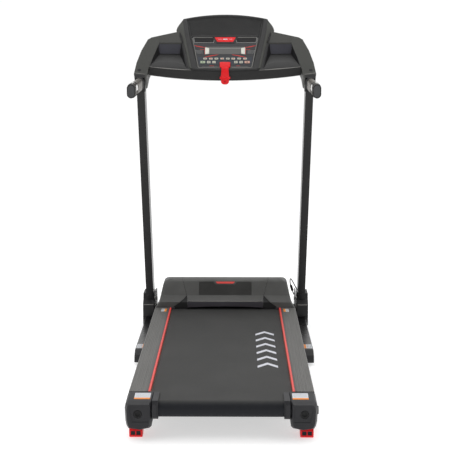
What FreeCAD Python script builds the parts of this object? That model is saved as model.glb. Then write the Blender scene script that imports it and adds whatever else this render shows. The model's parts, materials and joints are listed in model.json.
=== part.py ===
"""A folding motorised treadmill, built piece by piece.

X runs to the user's right, Y runs forward to the motor hood and Z runs up from the floor.
The origin is on the floor, in the middle of the footprint. Every length is in millimetres.
"""
import FreeCAD, Part
import math
import operator
import os
import Sketcher

V = FreeCAD.Vector
X_AXIS = V(1, 0, 0)

SIZES = {
    # running belt, rollers and board
    "belt_half": 210, "belt_thick": 1.7, "belt_top": 118.2, "roller_radius": 23, "roller_gap": 0.3,
    "shaft_radius": 8, "fit_gap": 0.06, "body_gap": 0.4, "rear_roller_y": -772, "front_roller_y": 470,
    "board_half": 262, "board_top": 115, "board_thick": 16, "board_rear": -730, "board_front": 430,
    # deck frame
    "beam_inner": 238, "beam_outer": 263, "beam_low": 54, "beam_top": 92, "beam_rear": -790,
    "beam_front": 700, "beam_wall": 2, "brace_low": 74, "brace_width": 30, "brace_first": -500,
    "brace_pitch": 430, "cushion_first": -600, "cushion_pitch": 300, "cushion_length": 40,
    # foot rails beside the belt
    "rail_inner": 219.5, "rail_outer": 277.5, "rail_top": 125, "rail_rear": -708, "rail_front": 409.6,
    "rail_skirt": 72, "rail_wall": 3, "stripe_inner": 212.8, "ridge_depth": 0.9,
    # rear caps
    "cap_rear": -805, "cap_low": 32, "cap_top": 124, "cap_inner": 184, "cap_outer": 282,
    # fold pivot
    "pivot_y": 650, "pivot_height": 73, "pin_radius": 8, "bracket_inner": 284, "plate_thick": 4,
    # motor bay
    "tray_half": 234, "tray_low": 50, "tray_rear": 440, "tray_front": 712, "sheet_wall": 3,
    "hood_wall": 3, "motor_y": 600, "motor_height": 128, "motor_radius": 42, "rotor_radius": 48,
    "motor_seat": 84, "rocker_pin": 1.5, "small_pulley": 14, "big_pulley": 34, "pulley_out": 230,
    "pulley_in": 217, "vee_belt": 2,
    # base frame
    "tube_outer": 326, "tube_inner": 288, "tube_low": 10, "tube_top": 50, "tube_rear": 60,
    "tube_front": 745, "tube_wall": 2, "fork_front": 803, "wheel_y": 784, "wheel_height": 23,
    "wheel_radius": 21, "wheel_half": 10, "axle_radius": 5, "front_cross": 752, "mid_cross": 300,
    "cross_width": 32, "cross_low": 12, "cross_top": 44, "bolt_y": 614, "bolt_height": 120,
    "cover_out": 338,
    # uprights
    "post_outer": 324.2, "post_rear": 597.3, "post_width": 30, "post_depth": 80, "post_top": 1042,
    "post_splay": 0.0131, "post_lean": 0.2487,
    # handlebars
    "grip_x": 322.5, "grip_width": 28, "grip_height": 48, "grip_rear": -14, "grip_root": 372,
    "grip_low": 990, "grip_rise": 15,
    # console, in its own face frame: across, up the slope, out of the face
    "face_angle": 53, "face_y": 345, "face_z": 1052, "apron_depth": 20, "shell_depth": 34,
    "back_depth": 80, "recess": 3, "panel_thick": 2.4, "key_travel": 1, "key_gap": 0.35,
    # incline feet
    "foot_y": -688, "foot_height": 61.5, "foot_in": 233, "foot_out": 272, "foot_rod": 5,
    "knob_radius": 12.5, "knob_out": 291,
}

doc = FreeCAD.newDocument("Treadmill")
sheet = doc.addObject("Spreadsheet::Sheet", "Sizes")
for row, (alias, number) in enumerate(SIZES.items(), start=1):
    sheet.set(f"A{row}", str(number))
    sheet.setAlias(f"A{row}", alias)
doc.recompute()

OPERATIONS = {"+": operator.add, "-": operator.sub, "*": operator.mul, "/": operator.truediv}


class Size:
    """A length that keeps the spreadsheet formula it came from beside its value."""

    def __init__(self, value, formula):
        self.value = float(value)
        self.formula = formula

    def __add__(self, other):
        return joined(self, "+", other)

    def __radd__(self, other):
        return joined(other, "+", self)

    def __sub__(self, other):
        return joined(self, "-", other)

    def __rsub__(self, other):
        return joined(other, "-", self)

    def __mul__(self, other):
        return joined(self, "*", other)

    def __rmul__(self, other):
        return joined(other, "*", self)

    def __truediv__(self, other):
        return joined(self, "/", other)

    def __neg__(self):
        return joined(0, "-", self)


def size(number):
    """Any number as a Size."""
    return number if isinstance(number, Size) else Size(number, repr(round(float(number), 4)))


def joined(left, sign, right):
    """Two sizes joined by an arithmetic sign, as a value and as a formula."""
    left, right = size(left), size(right)
    value = OPERATIONS[sign](left.value, right.value)
    return Size(value, f"({left.formula} {sign} {right.formula})")


class Cells:
    """The sheet's cells by name, such as cell.rail_top."""

    def __getattr__(self, alias):
        return Size(SIZES[alias], f"Sizes.{alias}")


cell = Cells()
nodes = {}


def bind(item, formulas):
    """Tie an object's properties to formulas of the sheet."""
    for path, value in formulas.items():
        item.setExpression(path, size(value).formula)


def keep(name, item):
    """Give a finished sub-part its own label, which also names its file."""
    item.Label = name
    nodes[name] = item
    return item


# ---------------------------------------------------------------- primitives and booleans

def box(x, y, z):
    """A block between two values along each axis."""
    item = doc.addObject("Part::Box", "Block")
    bind(item, {"Length": size(x[1]) - x[0], "Width": size(y[1]) - y[0], "Height": size(z[1]) - z[0],
                "Placement.Base.x": x[0], "Placement.Base.y": y[0], "Placement.Base.z": z[0]})
    return item


TURNS = {"X": (V(0, 1, 0), 90), "Y": (V(1, 0, 0), -90), "Z": (V(0, 0, 1), 0)}


def cylinder(axis, span, centre, radius):
    """A round bar along an axis, from span[0] to span[1], centred on the other two values."""
    item = doc.addObject("Part::Cylinder", "Bar")
    item.Placement = FreeCAD.Placement(V(0, 0, 0), FreeCAD.Rotation(*TURNS[axis]))
    place = list(centre)
    place.insert("XYZ".index(axis), span[0])
    bind(item, {"Radius": radius, "Height": size(span[1]) - span[0], "Placement.Base.x": place[0],
                "Placement.Base.y": place[1], "Placement.Base.z": place[2]})
    return item


def cut(base, *tools):
    """A base with each tool taken out of it."""
    for tool in tools:
        item = doc.addObject("Part::Cut", "Cut")
        item.Base = base
        item.Tool = tool
        base = item
    return base


def fuse(*shapes):
    """Several shapes joined into one."""
    item = doc.addObject("Part::MultiFuse", "Joined")
    item.Shapes = list(shapes)
    item.Refine = True
    return item


def common(first, *others):
    """What all the shapes share."""
    for other in others:
        item = doc.addObject("Part::Common", "Shared")
        item.Base = first
        item.Tool = other
        first = item
    return first


def group(*shapes):
    """Separate solids that share one node."""
    item = doc.addObject("Part::Compound", "Group")
    item.Links = list(shapes)
    return item


def mirrored(source):
    """The same piece on the other side of the middle plane."""
    item = doc.addObject("Part::Mirroring", "Mirror")
    item.Source = source
    item.Normal = X_AXIS
    return item


def both_sides(name, right):
    """A right-hand piece and its mirror image, as two sub-parts."""
    keep(f"{name}_right", right)
    keep(f"{name}_left", mirrored(right))


# ---------------------------------------------------------------- sketched features

def arc_edge(start, end, radius):
    """A circular edge from start to end: a positive radius bends it to the left as it goes."""
    chord = end - start
    rise = math.sqrt(max(radius * radius - chord.Length * chord.Length / 4, 0))
    side = V(-chord.y, chord.x, 0).normalize() * math.copysign(rise, radius)
    centre = (start + end) * 0.5 + side
    angles = [math.atan2(point.y - centre.y, point.x - centre.x) for point in (start, end)]
    if radius < 0:
        angles.reverse()
    circle = Part.Circle(centre, V(0, 0, 1), abs(radius))
    return Part.ArcOfCircle(circle, angles[0], angles[1])


def draw_loop(sketch, corners):
    """A closed loop of corners (across, up) or (across, up, radius of the edge that follows)."""
    points = [V(size(corner[0]).value, size(corner[1]).value, 0) for corner in corners]
    ends = []
    for index, corner in enumerate(corners):
        start, end = points[index], points[(index + 1) % len(points)]
        if len(corner) == 3:
            radius = size(corner[2])
            edge = sketch.addGeometry(arc_edge(start, end, radius.value))
            first, last = (1, 2) if radius.value > 0 else (2, 1)
            chord = end - start
            if chord.Length < 2 * abs(radius.value) - 1e-6:
                wanted = radius if radius.value > 0 else -radius
                rule = Sketcher.Constraint("Radius", edge, wanted.value)
            else:
                axis = 0 if abs(chord.y) > abs(chord.x) else 1
                following = corners[(index + 1) % len(corners)]
                wanted = (size(corner[axis]) + following[axis]) / 2
                rule = Sketcher.Constraint(("DistanceX", "DistanceY")[axis], -1, 1, edge, 3, wanted.value)
            number = sketch.addConstraint(rule)
            sketch.setExpression(f"Constraints[{number}]", wanted.formula)
        else:
            edge = sketch.addGeometry(Part.LineSegment(start, end))
            first, last = 1, 2
        ends.append((edge, first, last))
    for index, (edge, first, last) in enumerate(ends):
        following = ends[(index + 1) % len(ends)]
        sketch.addConstraint(Sketcher.Constraint("Coincident", edge, last, following[0], following[1]))
        for kind, value in zip(("DistanceX", "DistanceY"), corners[index]):
            value = size(value)
            number = sketch.addConstraint(Sketcher.Constraint(kind, -1, 1, edge, first, value.value))
            sketch.setExpression(f"Constraints[{number}]", value.formula)


def sketch_on(body, plane, height, loops):
    """A sketch of closed loops on one of a body's own planes, lifted by a height."""
    sketch = body.newObject("Sketcher::SketchObject", "Outline")
    origin = [item for item in body.Origin.OriginFeatures if item.Role == f"{plane}_Plane"][0]
    sketch.AttachmentSupport = [(origin, "")]
    sketch.MapMode = "FlatFace"
    bind(sketch, {"AttachmentOffset.Base.z": height})
    for corners in loops:
        draw_loop(sketch, corners)
    return sketch


def pad(plane, span, *loops):
    """A body made by padding a sketch between two values along the axis square to its plane."""
    body = doc.addObject("PartDesign::Body", "Body")
    start = -size(span[1]) if plane == "XZ" else span[0]
    feature_sketch = sketch_on(body, plane, start, loops)
    feature = body.newObject("PartDesign::Pad", "Pad")
    feature.Profile = feature_sketch
    bind(feature, {"Length": size(span[1]) - span[0]})
    return body


def loft(plane, *sections):
    """A body with straight sides between outlines: each section is a height and a loop."""
    body = doc.addObject("PartDesign::Body", "Body")
    sketches = [sketch_on(body, plane, height, [loop]) for height, loop in sections]
    feature = body.newObject("PartDesign::AdditiveLoft", "Loft")
    feature.Profile = sketches[0]
    feature.Sections = sketches[1:]
    feature.Ruled = True
    return body


def whole(half):
    """A loop symmetric about the vertical axis, from its right-hand corners, bottom to top."""
    left = [(-size(corner[0]), *corner[1:2]) for corner in reversed(half)]
    return list(half) + left


def rectangle(x, y):
    """A four-cornered loop."""
    return [(x[0], y[0]), (x[1], y[0]), (x[1], y[1]), (x[0], y[1])]


# ---------------------------------------------------------------- base frame

def post_solid(grow=0, low=50, top=None):
    """The leaning, slightly splayed right upright as a solid, grown on its sides by an amount."""
    top = size(cell.post_top if top is None else top)
    sections = []
    for height in (size(low), top):
        rise = height - 50
        outer = cell.post_outer + rise * cell.post_splay + grow
        rear = cell.post_rear - rise * cell.post_lean - grow
        inner = outer - cell.post_width - 2 * grow
        sections.append((height, rectangle((inner, outer), (rear, rear + cell.post_depth + 2 * grow))))
    return loft("XY", *sections)


def make_floor_tubes():
    """The two tubes on the floor, and the two that join them: the front one ends in wheel forks."""
    wall = cell.tube_wall
    x = (cell.tube_inner, cell.tube_outer)
    y = (cell.tube_rear, cell.tube_front)
    tube = pad("XZ", y, rectangle(x, (cell.tube_low, cell.tube_top)),
               rectangle((x[0] + wall, x[1] - wall), (cell.tube_low + wall, cell.tube_top - wall)))
    both_sides("floor_tube", tube)

    middle_bar = cross_tube(cell.mid_cross)
    front_bar = cross_tube(cell.front_cross)
    fork = box((cell.tube_inner, cell.tube_outer), (cell.tube_front, cell.fork_front), (8, cell.tube_top))
    middle = (cell.tube_inner + cell.tube_outer) / 2
    slot_half = cell.wheel_half + 2
    slot = box((middle - slot_half, middle + slot_half), (cell.wheel_y - 25, cell.fork_front + 1), (0, 46.5))
    axle_hole = cylinder("X", (cell.tube_inner - 1, cell.tube_outer + 1),
                         (cell.wheel_y, cell.wheel_height), cell.axle_radius)
    fork = cut(fork, slot, axle_hole)
    keep("cross_tubes", group(middle_bar, fuse(front_bar, fork, mirrored(fork))))


def cross_tube(rear):
    """A square tube between the two floor tubes, from its rear face."""
    wall, reach = cell.tube_wall, cell.tube_inner
    low, top = cell.cross_low, cell.cross_top
    outer = box((-reach, reach), (rear, rear + cell.cross_width), (low, top))
    inner = box((-reach, reach), (rear + wall, rear + cell.cross_width - wall), (low + wall, top - wall))
    return cut(outer, inner)


def make_tube_ends():
    """Tapered plugs at the rear of the floor tubes, and the pads that the tubes stand on."""
    low, top, rear = cell.tube_low, cell.tube_top, cell.tube_rear
    taper = pad("YZ", (cell.tube_inner, cell.tube_outer),
                [(rear, low), (rear, top), (rear - 14, top - 1), (rear - 38, top - 14),
                 (rear - 47, low + 10), (rear - 46, low)])
    keep("floor_tube_caps", group(taper, mirrored(taper)))

    pads = []
    for middle_y in (100, 560):
        pads.append(box((cell.tube_inner + 3, cell.tube_outer - 3), (middle_y - 25, middle_y + 25),
                        (0, low)))
    keep("foot_pads", group(*pads, *[mirrored(item) for item in pads]))


def make_wheels():
    """The transport wheels that meet the floor when the folded machine is tipped forward."""
    middle = (cell.tube_inner + cell.tube_outer) / 2
    span = (middle - cell.wheel_half, middle + cell.wheel_half)
    centre = (cell.wheel_y, cell.wheel_height)
    disc = cylinder("X", span, centre, cell.wheel_radius)
    bore = cylinder("X", (span[0] - 1, span[1] + 1), centre, cell.axle_radius + cell.fit_gap)
    dishes = []
    for low, high in ((span[0] - 1, span[0] + 3), (span[1] - 3, span[1] + 1)):
        dishes.append(cut(cylinder("X", (low, high), centre, cell.wheel_radius - 5),
                          cylinder("X", (low - 1, high + 1), centre, cell.axle_radius + 4)))
    both_sides("transport_wheel", cut(disc, bore, *dishes))


def make_pivot_parts():
    """The inner bracket plates, the fold pins, the wheel axles and the bolts of the uprights."""
    inner = cell.bracket_inner
    outer = inner + cell.plate_thick
    y, height = cell.pivot_y, cell.pivot_height
    bolt_line = (cell.bolt_y, cell.bolt_height)
    outline = [(y - 52, 14), (y + 48, 14), (y + 48, 62), (y + 22, 96), (y - 2, 150), (y - 6, 156),
               (y - 42, 156), (y - 48, 148), (y - 60, 60)]
    plate = pad("YZ", (inner, outer), outline)
    plate = cut(plate, cylinder("X", (inner - 1, outer + 1), (y, height), cell.pin_radius),
                cylinder("X", (inner - 1, outer + 1), bolt_line, cell.axle_radius))
    keep("pivot_brackets", group(plate, mirrored(plate)))

    pin = fuse(cylinder("X", (cell.beam_inner - 2, outer), (y, height), cell.pin_radius),
               cylinder("X", (outer, outer + 5), (y, height), cell.pin_radius + 4))
    axle = cylinder("X", (cell.tube_inner, cell.tube_outer), (cell.wheel_y, cell.wheel_height),
                    cell.axle_radius)
    keep("pivot_pins", group(pin, axle, mirrored(pin), mirrored(axle)))

    bolt = fuse(cylinder("X", (inner - 3, inner), bolt_line, 9),
                cylinder("X", (inner, cell.post_outer - 2), bolt_line, cell.axle_radius))
    keep("frame_bolts", group(bolt, mirrored(bolt)))


def make_uprights():
    """The two uprights, the moulded covers round their feet, and the bar between their tops."""
    bolt_line = (cell.bolt_y, cell.bolt_height)
    hole = cylinder("X", (cell.bracket_inner, cell.tube_outer), bolt_line, cell.axle_radius)
    post = cut(post_solid(), post_solid(-2, 49, cell.post_top + 1), hole)
    both_sides("upright", post)

    y, top = cell.pivot_y, cell.tube_top
    shape = [(y - 88, top), (y - 88, 103), (y - 66, 122), (y - 61, 144), (y + 24, 144), (y + 44, 122),
             (y + 66, 92), (y + 72, top)]
    shell = pad("YZ", (cell.tube_inner + 6, cell.cover_out), shape)
    hollow = pad("YZ", (cell.tube_inner + 8.5, cell.cover_out - 2.5),
                 [(y - 85, top - 1), (y - 85, 101), (y - 63, 120), (y - 58, 141), (y + 21, 141),
                  (y + 41, 120), (y + 63, 91), (y + 69, top - 1)])
    skirt = pad("YZ", (cell.tube_outer, cell.cover_out),
                [(y - 84, 15), (y + 68, 15), (y + 72, top + 1), (y - 88, top + 1)])
    room = box((cell.tube_outer - 1, cell.tube_outer + 0.2), (y - 90, y + 75), (10, top))
    pin_room = cylinder("X", (cell.tube_inner, cell.tube_inner + 9), (y, cell.pivot_height),
                        cell.pin_radius + 6)
    cover = cut(fuse(cut(shell, hollow), skirt), post_solid(0.2, 40, 200), room, pin_room,
                cylinder("X", (cell.bracket_inner, cell.tube_outer), bolt_line, cell.axle_radius + 1))
    both_sides("upright_cover", cover)

    outer = cell.post_outer + (cell.post_top - 50) * cell.post_splay - 4
    low = cell.post_top
    bar = box((-outer, outer), (405, 430), (low, low + 22))
    inside = box((-outer - 1, outer + 1), (407, 428), (low + 2, low + 20))
    keep("console_crossbar", cut(bar, inside))


def oval(grow=0):
    """The upright oval section of a handlebar about its own centre line."""
    radius = cell.grip_width / 2 + grow
    flat = (cell.grip_height - cell.grip_width) / 2
    return [(radius, -flat), (radius, flat, radius), (-radius, flat), (-radius, -flat, radius)]


def on_grip(item):
    """Move a piece made along Y = 0 to the right handlebar's sloping centre line."""
    slope = math.degrees(math.atan2(SIZES["grip_rise"], SIZES["grip_root"] - SIZES["grip_rear"]))
    item.Placement = FreeCAD.Placement(V(0, 0, 0), FreeCAD.Rotation(X_AXIS, slope))
    bind(item, {"Placement.Base.x": cell.grip_x, "Placement.Base.y": cell.grip_rear,
                "Placement.Base.z": cell.grip_low})
    return item


def grip_bar(grow=0, start=0, end=None):
    """A length of the handlebar's section, along its own centre line."""
    length = cell.grip_root - cell.grip_rear if end is None else end
    return pad("XZ", (start, length), oval(grow))


def make_handlebars():
    """Oval tubes with a moulded cap and a pulse plate on each."""
    tube = on_grip(cut(grip_bar(), grip_bar(-1.5, -1, 400)))
    both_sides("handlebar", cut(tube, post_solid(0.2, 900, cell.post_top)))

    cap = fuse(grip_bar(0.6, -9, 0), grip_bar(-1.5, 0, 14))
    cap = on_grip(cap)
    keep("handlebar_caps", group(cap, mirrored(cap)))

    sleeve = cut(grip_bar(1.4, 26, 96), grip_bar(0, 20, 100))
    plate = common(sleeve, box((-30, 30), (20, 100), (-2, 40)))
    plate = on_grip(plate)
    keep("pulse_sensors", group(plate, mirrored(plate)))


# ---------------------------------------------------------------- console

def on_face(item):
    """Move a piece made flat, with Z out of the face, onto the sloping console face."""
    angle = SIZES["face_angle"]
    item.Placement = FreeCAD.Placement(V(0, 0, 0), FreeCAD.Rotation(X_AXIS, angle))
    bind(item, {"Placement.Base.y": cell.face_y, "Placement.Base.z": cell.face_z})
    return item


def console_outline(lip_middle, lip_side, inset=0):
    """The console without its arms: a bowed lip, wings and a taller arched middle."""
    lip_half = size(288) - inset
    sag = size(lip_side) - lip_middle
    lip_radius = (lip_half * lip_half + sag * sag) / (2 * sag)
    crown_half = size(163) - inset
    crown_rise = 21.5
    crown_radius = (crown_half * crown_half + crown_rise * crown_rise) / (2 * crown_rise)
    right = [(lip_half, lip_side), (size(252) - inset, 135), (size(250) - inset, size(169) - inset),
             (size(179) - inset, size(188) - inset), (size(176) - inset, size(199) - inset),
             (size(168) - inset, size(227) - inset), (crown_half, size(248.5) - inset)]
    left = [(-corner[0], corner[1]) for corner in reversed(right)]
    return right[:-1] + [(*right[-1], crown_radius)] + left[:-1] + [(*left[-1], lip_radius)]


def make_console_shells():
    """The moulded face with its two trays, and the back cover."""
    apron = -cell.apron_depth
    depth = -cell.shell_depth
    shell = loft("XY", (0, console_outline(-1, 21)), (apron, console_outline(-27.3, -2)),
                 (depth, console_outline(-19, 6)))
    tray = loft("XY", (1, [(146, 14), (284, 24), (260, 136), (168, 136)]),
                (-27, [(173, 96), (254, 98), (252, 102), (174, 101)]))
    frame_recess = pad("XY", (-cell.recess, 1), whole([(104, 12), (142, 241)]))
    cavity = pad("XY", (depth - 1, -cell.recess - 3), whole([(100, 24), (134, 232)]))
    window = box((-73.5, 73.5), (80.5, 116.5), (-10, 0))
    key_slots = [box((middle - 4, middle + 4), (38.6, 46.6), (-10, 0))
                 for middle in (-84.5, -62, -42, 41, 61, 84)]
    face = cut(shell, tray, mirrored(tray), frame_recess, cavity, window, *key_slots)
    keep("console_face", on_face(face))

    back = loft("XY", (depth, console_outline(-19, 6)), (-cell.back_depth, console_outline(25, 46, 22)))
    hollow = loft("XY", (depth + 1, console_outline(-14, 11, 4)),
                  (3 - cell.back_depth, console_outline(31, 51, 26)))
    back = on_face(cut(back, hollow))
    passage = box((-330, 330), (404.8, 430.2), (cell.post_top - 0.2, cell.post_top + 22.2))
    keep("console_back", cut(back, passage))


def make_arms():
    """The arm mouldings that join the console to the handlebars and uprights."""
    outline = [(295, -23), (300, -29.5), (338, -29.5), (344, -12), (336, 40), (320, 97), (297, 150),
               (283, 160), (250.4, 169), (252.4, 135), (288.4, 21)]
    inset = [(297, -18), (303, -25), (334, -25), (340, -10), (332, 38), (316, 95), (294, 144),
             (281, 154), (256, 160), (257, 137), (292, 22)]
    solid = loft("XY", (0, outline), (-44, outline), (-cell.back_depth, inset))
    sleeve = box((302, 341), (334, 392), (976, 1034))
    arm = fuse(on_face(solid), sleeve)
    bore = on_grip(grip_bar(0, -1, 387))
    room = post_solid(0.2, 940, cell.post_top)
    passage = box((200, 333.4), (404.8, 430.2), (cell.post_top - 0.2, cell.post_top + 22.2))
    both_sides("console_arm", cut(arm, bore, room, passage))


KEY_ROW = 42.6
MOVING_KEYS = {"start_key": (-84.5, 9, 5.2), "mode_key": (-62, 6.5, 5.2), "speed_down_key": (-42, 6.5, 5.2),
               "speed_up_key": (41, 6.5, 5.2), "program_key": (61, 6.5, 5.2), "stop_key": (84, 10, 5.2)}
FIXED_KEYS = (-76, -54, -33, -11, 10.5, 31, 53.5, 75.7)


GRILLE_LOW, GRILLE_HIGH = 136, 163


def grille_outline(inset):
    """The right-hand speaker grille's outline on the console face, drawn in by an amount."""
    low, high = GRILLE_LOW + inset, GRILLE_HIGH - inset
    return [(46 + inset, low), (117 - inset, low), (120 - inset, high), (39 + inset, high)]


def make_display():
    """The display panel, its keys, the screen module, the grilles and the board behind them."""
    low, high = -cell.recess, cell.panel_thick - cell.recess
    plate = pad("XY", (low, high), whole([(103, 12.4), (129.6, 170)]))
    bumps = [box((middle - 7.5, middle + 7.5), (54.5, 63.5), (high, high + 0.8)) for middle in FIXED_KEYS]
    openings = [box((-73.4, 73.4), (80.6, 116.4), (-5, 5)), box((-21, 21), (12, 43), (-5, 5))]
    for middle, half, rise in MOVING_KEYS.values():
        gap = cell.key_gap
        openings.append(box((middle - half - gap, middle + half + gap),
                            (KEY_ROW - rise - gap, KEY_ROW + rise + gap), (-5, 5)))
    grille_room = pad("XY", (-5, 5), grille_outline(0))
    openings += [grille_room, mirrored(grille_room)]
    keep("display_panel", on_face(cut(fuse(plate, *bumps), *openings)))

    for name, (middle, half, rise) in MOVING_KEYS.items():
        head = box((middle - half, middle + half), (KEY_ROW - rise, KEY_ROW + rise), (low + 1.4, high + 1.8))
        stem = box((middle - 3.5, middle + 3.5), (KEY_ROW - 3.5, KEY_ROW + 3.5), (-9, low + 1.4))
        keep(name, on_face(fuse(head, stem)))

    screen = fuse(box((-73, 73), (81, 116), (-4.5, -0.4)), box((-66, 66), (84, 113), (-13, -4.5)))
    keep("lcd_module", on_face(screen))

    slots = [box((30, 130), (GRILLE_LOW + 2.5 + 4 * row, GRILLE_LOW + 4.5 + 4 * row), (-2.2, 1))
             for row in range(6)]
    grille = cut(pad("XY", (low, high - 0.5), grille_outline(0.3)), *slots)
    keep("speaker_grilles", on_face(group(grille, mirrored(grille))))

    board = box((-90, 90), (36, 150), (-24, -22.4))
    chips = [box((-70 + 45 * step, -48 + 45 * step), (60, 84), (-22.4, -19.5)) for step in range(4)]
    plug = box((-20, 20), (124, 136), (-22.4, -15))
    keep("control_board", on_face(fuse(board, *chips, plug)))


def make_safety_key():
    """The red key block with the strap and tab that hang over the lip."""
    block = box((-20, 20), (13.4, 42), (-2.6, 9))
    lip_over = [(14, 0), (14, 5), (6, 7), (-7, 3.5), (-24, -8), (-24, -11), (-22, -11), (-6, 0.5), (5, 4)]
    strap = pad("YZ", (-14.5, 14.5), lip_over)
    tab = pad("YZ", (-12, 12), [(-21.8, -10.5), (-23.2, -8.5), (-37.2, -19.1), (-35.8, -21)])
    keep("safety_key", on_face(fuse(block, strap, tab)))


# ---------------------------------------------------------------- deck

def roller_height():
    """The height of both roller axes, from the belt's running face."""
    return cell.belt_top - cell.belt_thick - cell.roller_gap - cell.roller_radius


def belt_loop(inset):
    """The belt's closed path in side view, drawn in from its outer face by an amount."""
    radius = cell.roller_radius + cell.roller_gap + cell.belt_thick - inset
    low, high = roller_height() - radius, roller_height() + radius
    rear, front = cell.rear_roller_y, cell.front_roller_y
    return [(rear, low), (front, low, radius), (front, high), (rear, high, radius)]


def make_rollers():
    """The rear roller, and the front roller with the driven pulley on its left end."""
    for name, y, pulley in (("rear_roller", cell.rear_roller_y, False),
                            ("front_roller", cell.front_roller_y, True)):
        centre = (y, roller_height())
        pieces = [cylinder("X", (-cell.belt_half - 3, cell.belt_half + 3), centre, cell.roller_radius),
                  cylinder("X", (-cell.beam_outer + 9, cell.beam_outer - 9), centre, cell.shaft_radius)]
        if pulley:
            pieces.append(cylinder("X", (-cell.pulley_out, -cell.pulley_in), centre, cell.big_pulley))
        keep(name, fuse(*pieces))


def make_running_surface():
    """The belt loop, the board it slides on and the rubber cushions under the board."""
    keep("running_belt", pad("YZ", (-cell.belt_half, cell.belt_half), belt_loop(0),
                             belt_loop(cell.belt_thick)))
    board_low = cell.board_top - cell.board_thick
    keep("running_board", box((-cell.board_half, cell.board_half), (cell.board_rear, cell.board_front),
                              (board_low, cell.board_top)))
    cushions = []
    for step in range(4):
        middle = cell.cushion_first + step * cell.cushion_pitch
        half = cell.cushion_length / 2
        cushions.append(box((cell.beam_inner + 2, cell.beam_outer - 2), (middle - half, middle + half),
                            (cell.beam_top, board_low)))
    keep("deck_cushions", group(*cushions, *[mirrored(item) for item in cushions]))


def make_deck_frame():
    """Two long tubes with three braces butted between them inside the belt loop."""
    wall = cell.beam_wall
    x, z = (cell.beam_inner, cell.beam_outer), (cell.beam_low, cell.beam_top)
    beam = pad("XZ", (cell.beam_rear, cell.beam_front), rectangle(x, z),
               rectangle((x[0] + wall, x[1] - wall), (z[0] + wall, z[1] - wall)))
    pivot = (cell.pivot_y, cell.pivot_height)
    sleeve = cylinder("X", (cell.beam_inner, cell.bracket_inner - cell.body_gap), pivot,
                      cell.pin_radius + 5)
    beam = fuse(beam, sleeve)
    reach = (cell.beam_inner - 1, cell.bracket_inner + 1)
    beam = cut(beam, cylinder("X", reach, pivot, cell.pin_radius + cell.fit_gap),
               cylinder("X", reach, (cell.foot_y, cell.foot_height), cell.foot_rod + cell.fit_gap))
    for y in (cell.rear_roller_y, cell.front_roller_y):
        radius = cell.shaft_radius + cell.fit_gap
        beam = cut(beam, cylinder("X", reach, (y, roller_height()), radius))
    braces = []
    for step in range(3):
        rear = cell.brace_first + step * cell.brace_pitch
        braces.append(box((-cell.beam_inner, cell.beam_inner), (rear, rear + cell.brace_width),
                          (cell.brace_low, cell.beam_top)))
    keep("deck_frame", group(beam, mirrored(beam), *braces))


def make_side_rails():
    """Ridged foot rails over the board's edges, with a red trim strip along the belt."""
    inner, outer, top, wall = cell.rail_inner, cell.rail_outer, cell.rail_top, cell.rail_wall
    pitch = (outer - inner - 10) / 9
    corners = [(inner + wall, cell.board_top), (inner + wall, top - 4), (outer - wall, top - 4),
               (outer - wall, cell.rail_skirt), (outer, cell.rail_skirt), (outer, top - 3),
               (outer - 2, top)]
    for step in range(9):
        start = outer - 5 - step * pitch
        corners += [(start, top), (start - 0.5, top - cell.ridge_depth),
                    (start - 1.7, top - cell.ridge_depth), (start - 2.2, top)]
    corners += [(inner, top), (inner, cell.board_top)]
    both_sides("side_rail", pad("XZ", (cell.rail_rear, cell.rail_front), corners))

    strip = [(cell.stripe_inner, cell.board_top), (inner, cell.board_top), (inner, top - 1),
             (inner - 1.5, top + 0.4), (cell.stripe_inner + 1.5, top + 0.4), (cell.stripe_inner, top - 1)]
    strip = pad("XZ", (cell.rail_rear, cell.rail_front), strip)
    keep("rail_trims", group(strip, mirrored(strip)))


def make_rear_caps():
    """The moulded corner caps that close the rails, hold the roller ends and guard the belt edge."""
    inner, outer, low, top, rear = (cell.cap_inner, cell.cap_outer, cell.cap_low, cell.cap_top,
                                    cell.cap_rear)
    front, split = cell.rail_rear, inner + 17
    around = [(split, 66), (split + 3, low + 12), (split + 9, low + 6), (238, low), (outer - 10, low + 5),
              (outer - 5, low + 14), (outer - 2, 60), (outer, 100), (outer - 3, top - 7),
              (outer - 9, top), (split + 4, top), (split, top - 4)]
    lowered = [(x, z - 4 if size(z).value > 110 else z) for x, z in around]
    middle_x, middle_z = 241, 76
    drawn_in = [((x - middle_x) * 0.84 + middle_x, (z - middle_z) * 0.84 + middle_z) for x, z in lowered]
    main = loft("XZ", (-front, around), (-rear - 17, lowered), (-rear, drawn_in))
    lobe = pad("YZ", (inner, split),
               [(front, 67), (rear + 12, 67), (rear + 3, 74), (rear + 3, 112), (rear + 9, top - 1),
                (front, top - 1)])
    lobe = cut(lobe, box((inner - 1, inner + 4), (rear, rear + 6), (60, top)))
    reach = cell.roller_radius + cell.roller_gap + cell.belt_thick + 1.2
    roller = (cell.rear_roller_y, roller_height())
    belt_room = pad("YZ", (inner - 1, cell.beam_inner),
                    [(front + 1, roller[1] - reach), (front + 1, roller[1] + reach),
                     (roller[0], roller[1] + reach, reach), (roller[0], roller[1] - reach)])
    beam_room = box((cell.beam_inner, cell.beam_outer), (cell.beam_rear, front + 1),
                    (cell.beam_low, cell.beam_top))
    board_room = box((inner - 1, cell.board_half), (cell.board_rear, front + 1),
                     (cell.board_top - cell.board_thick, cell.board_top))
    shaft_room = cylinder("X", (inner, cell.beam_outer - 8), roller, cell.shaft_radius + 0.6)
    panel = pad("XZ", (rear - 2, rear + 1.5), [(212, 60), (260, 60), (268, 96), (264, 106), (212, 108)])
    plug_room = cylinder("Y", (rear - 2, rear + 9), (243, 84), 12.5)
    cap = cut(fuse(main, lobe), beam_room, board_room, belt_room, shaft_room, panel, plug_room)
    both_sides("rear_cap", cap)


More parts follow.
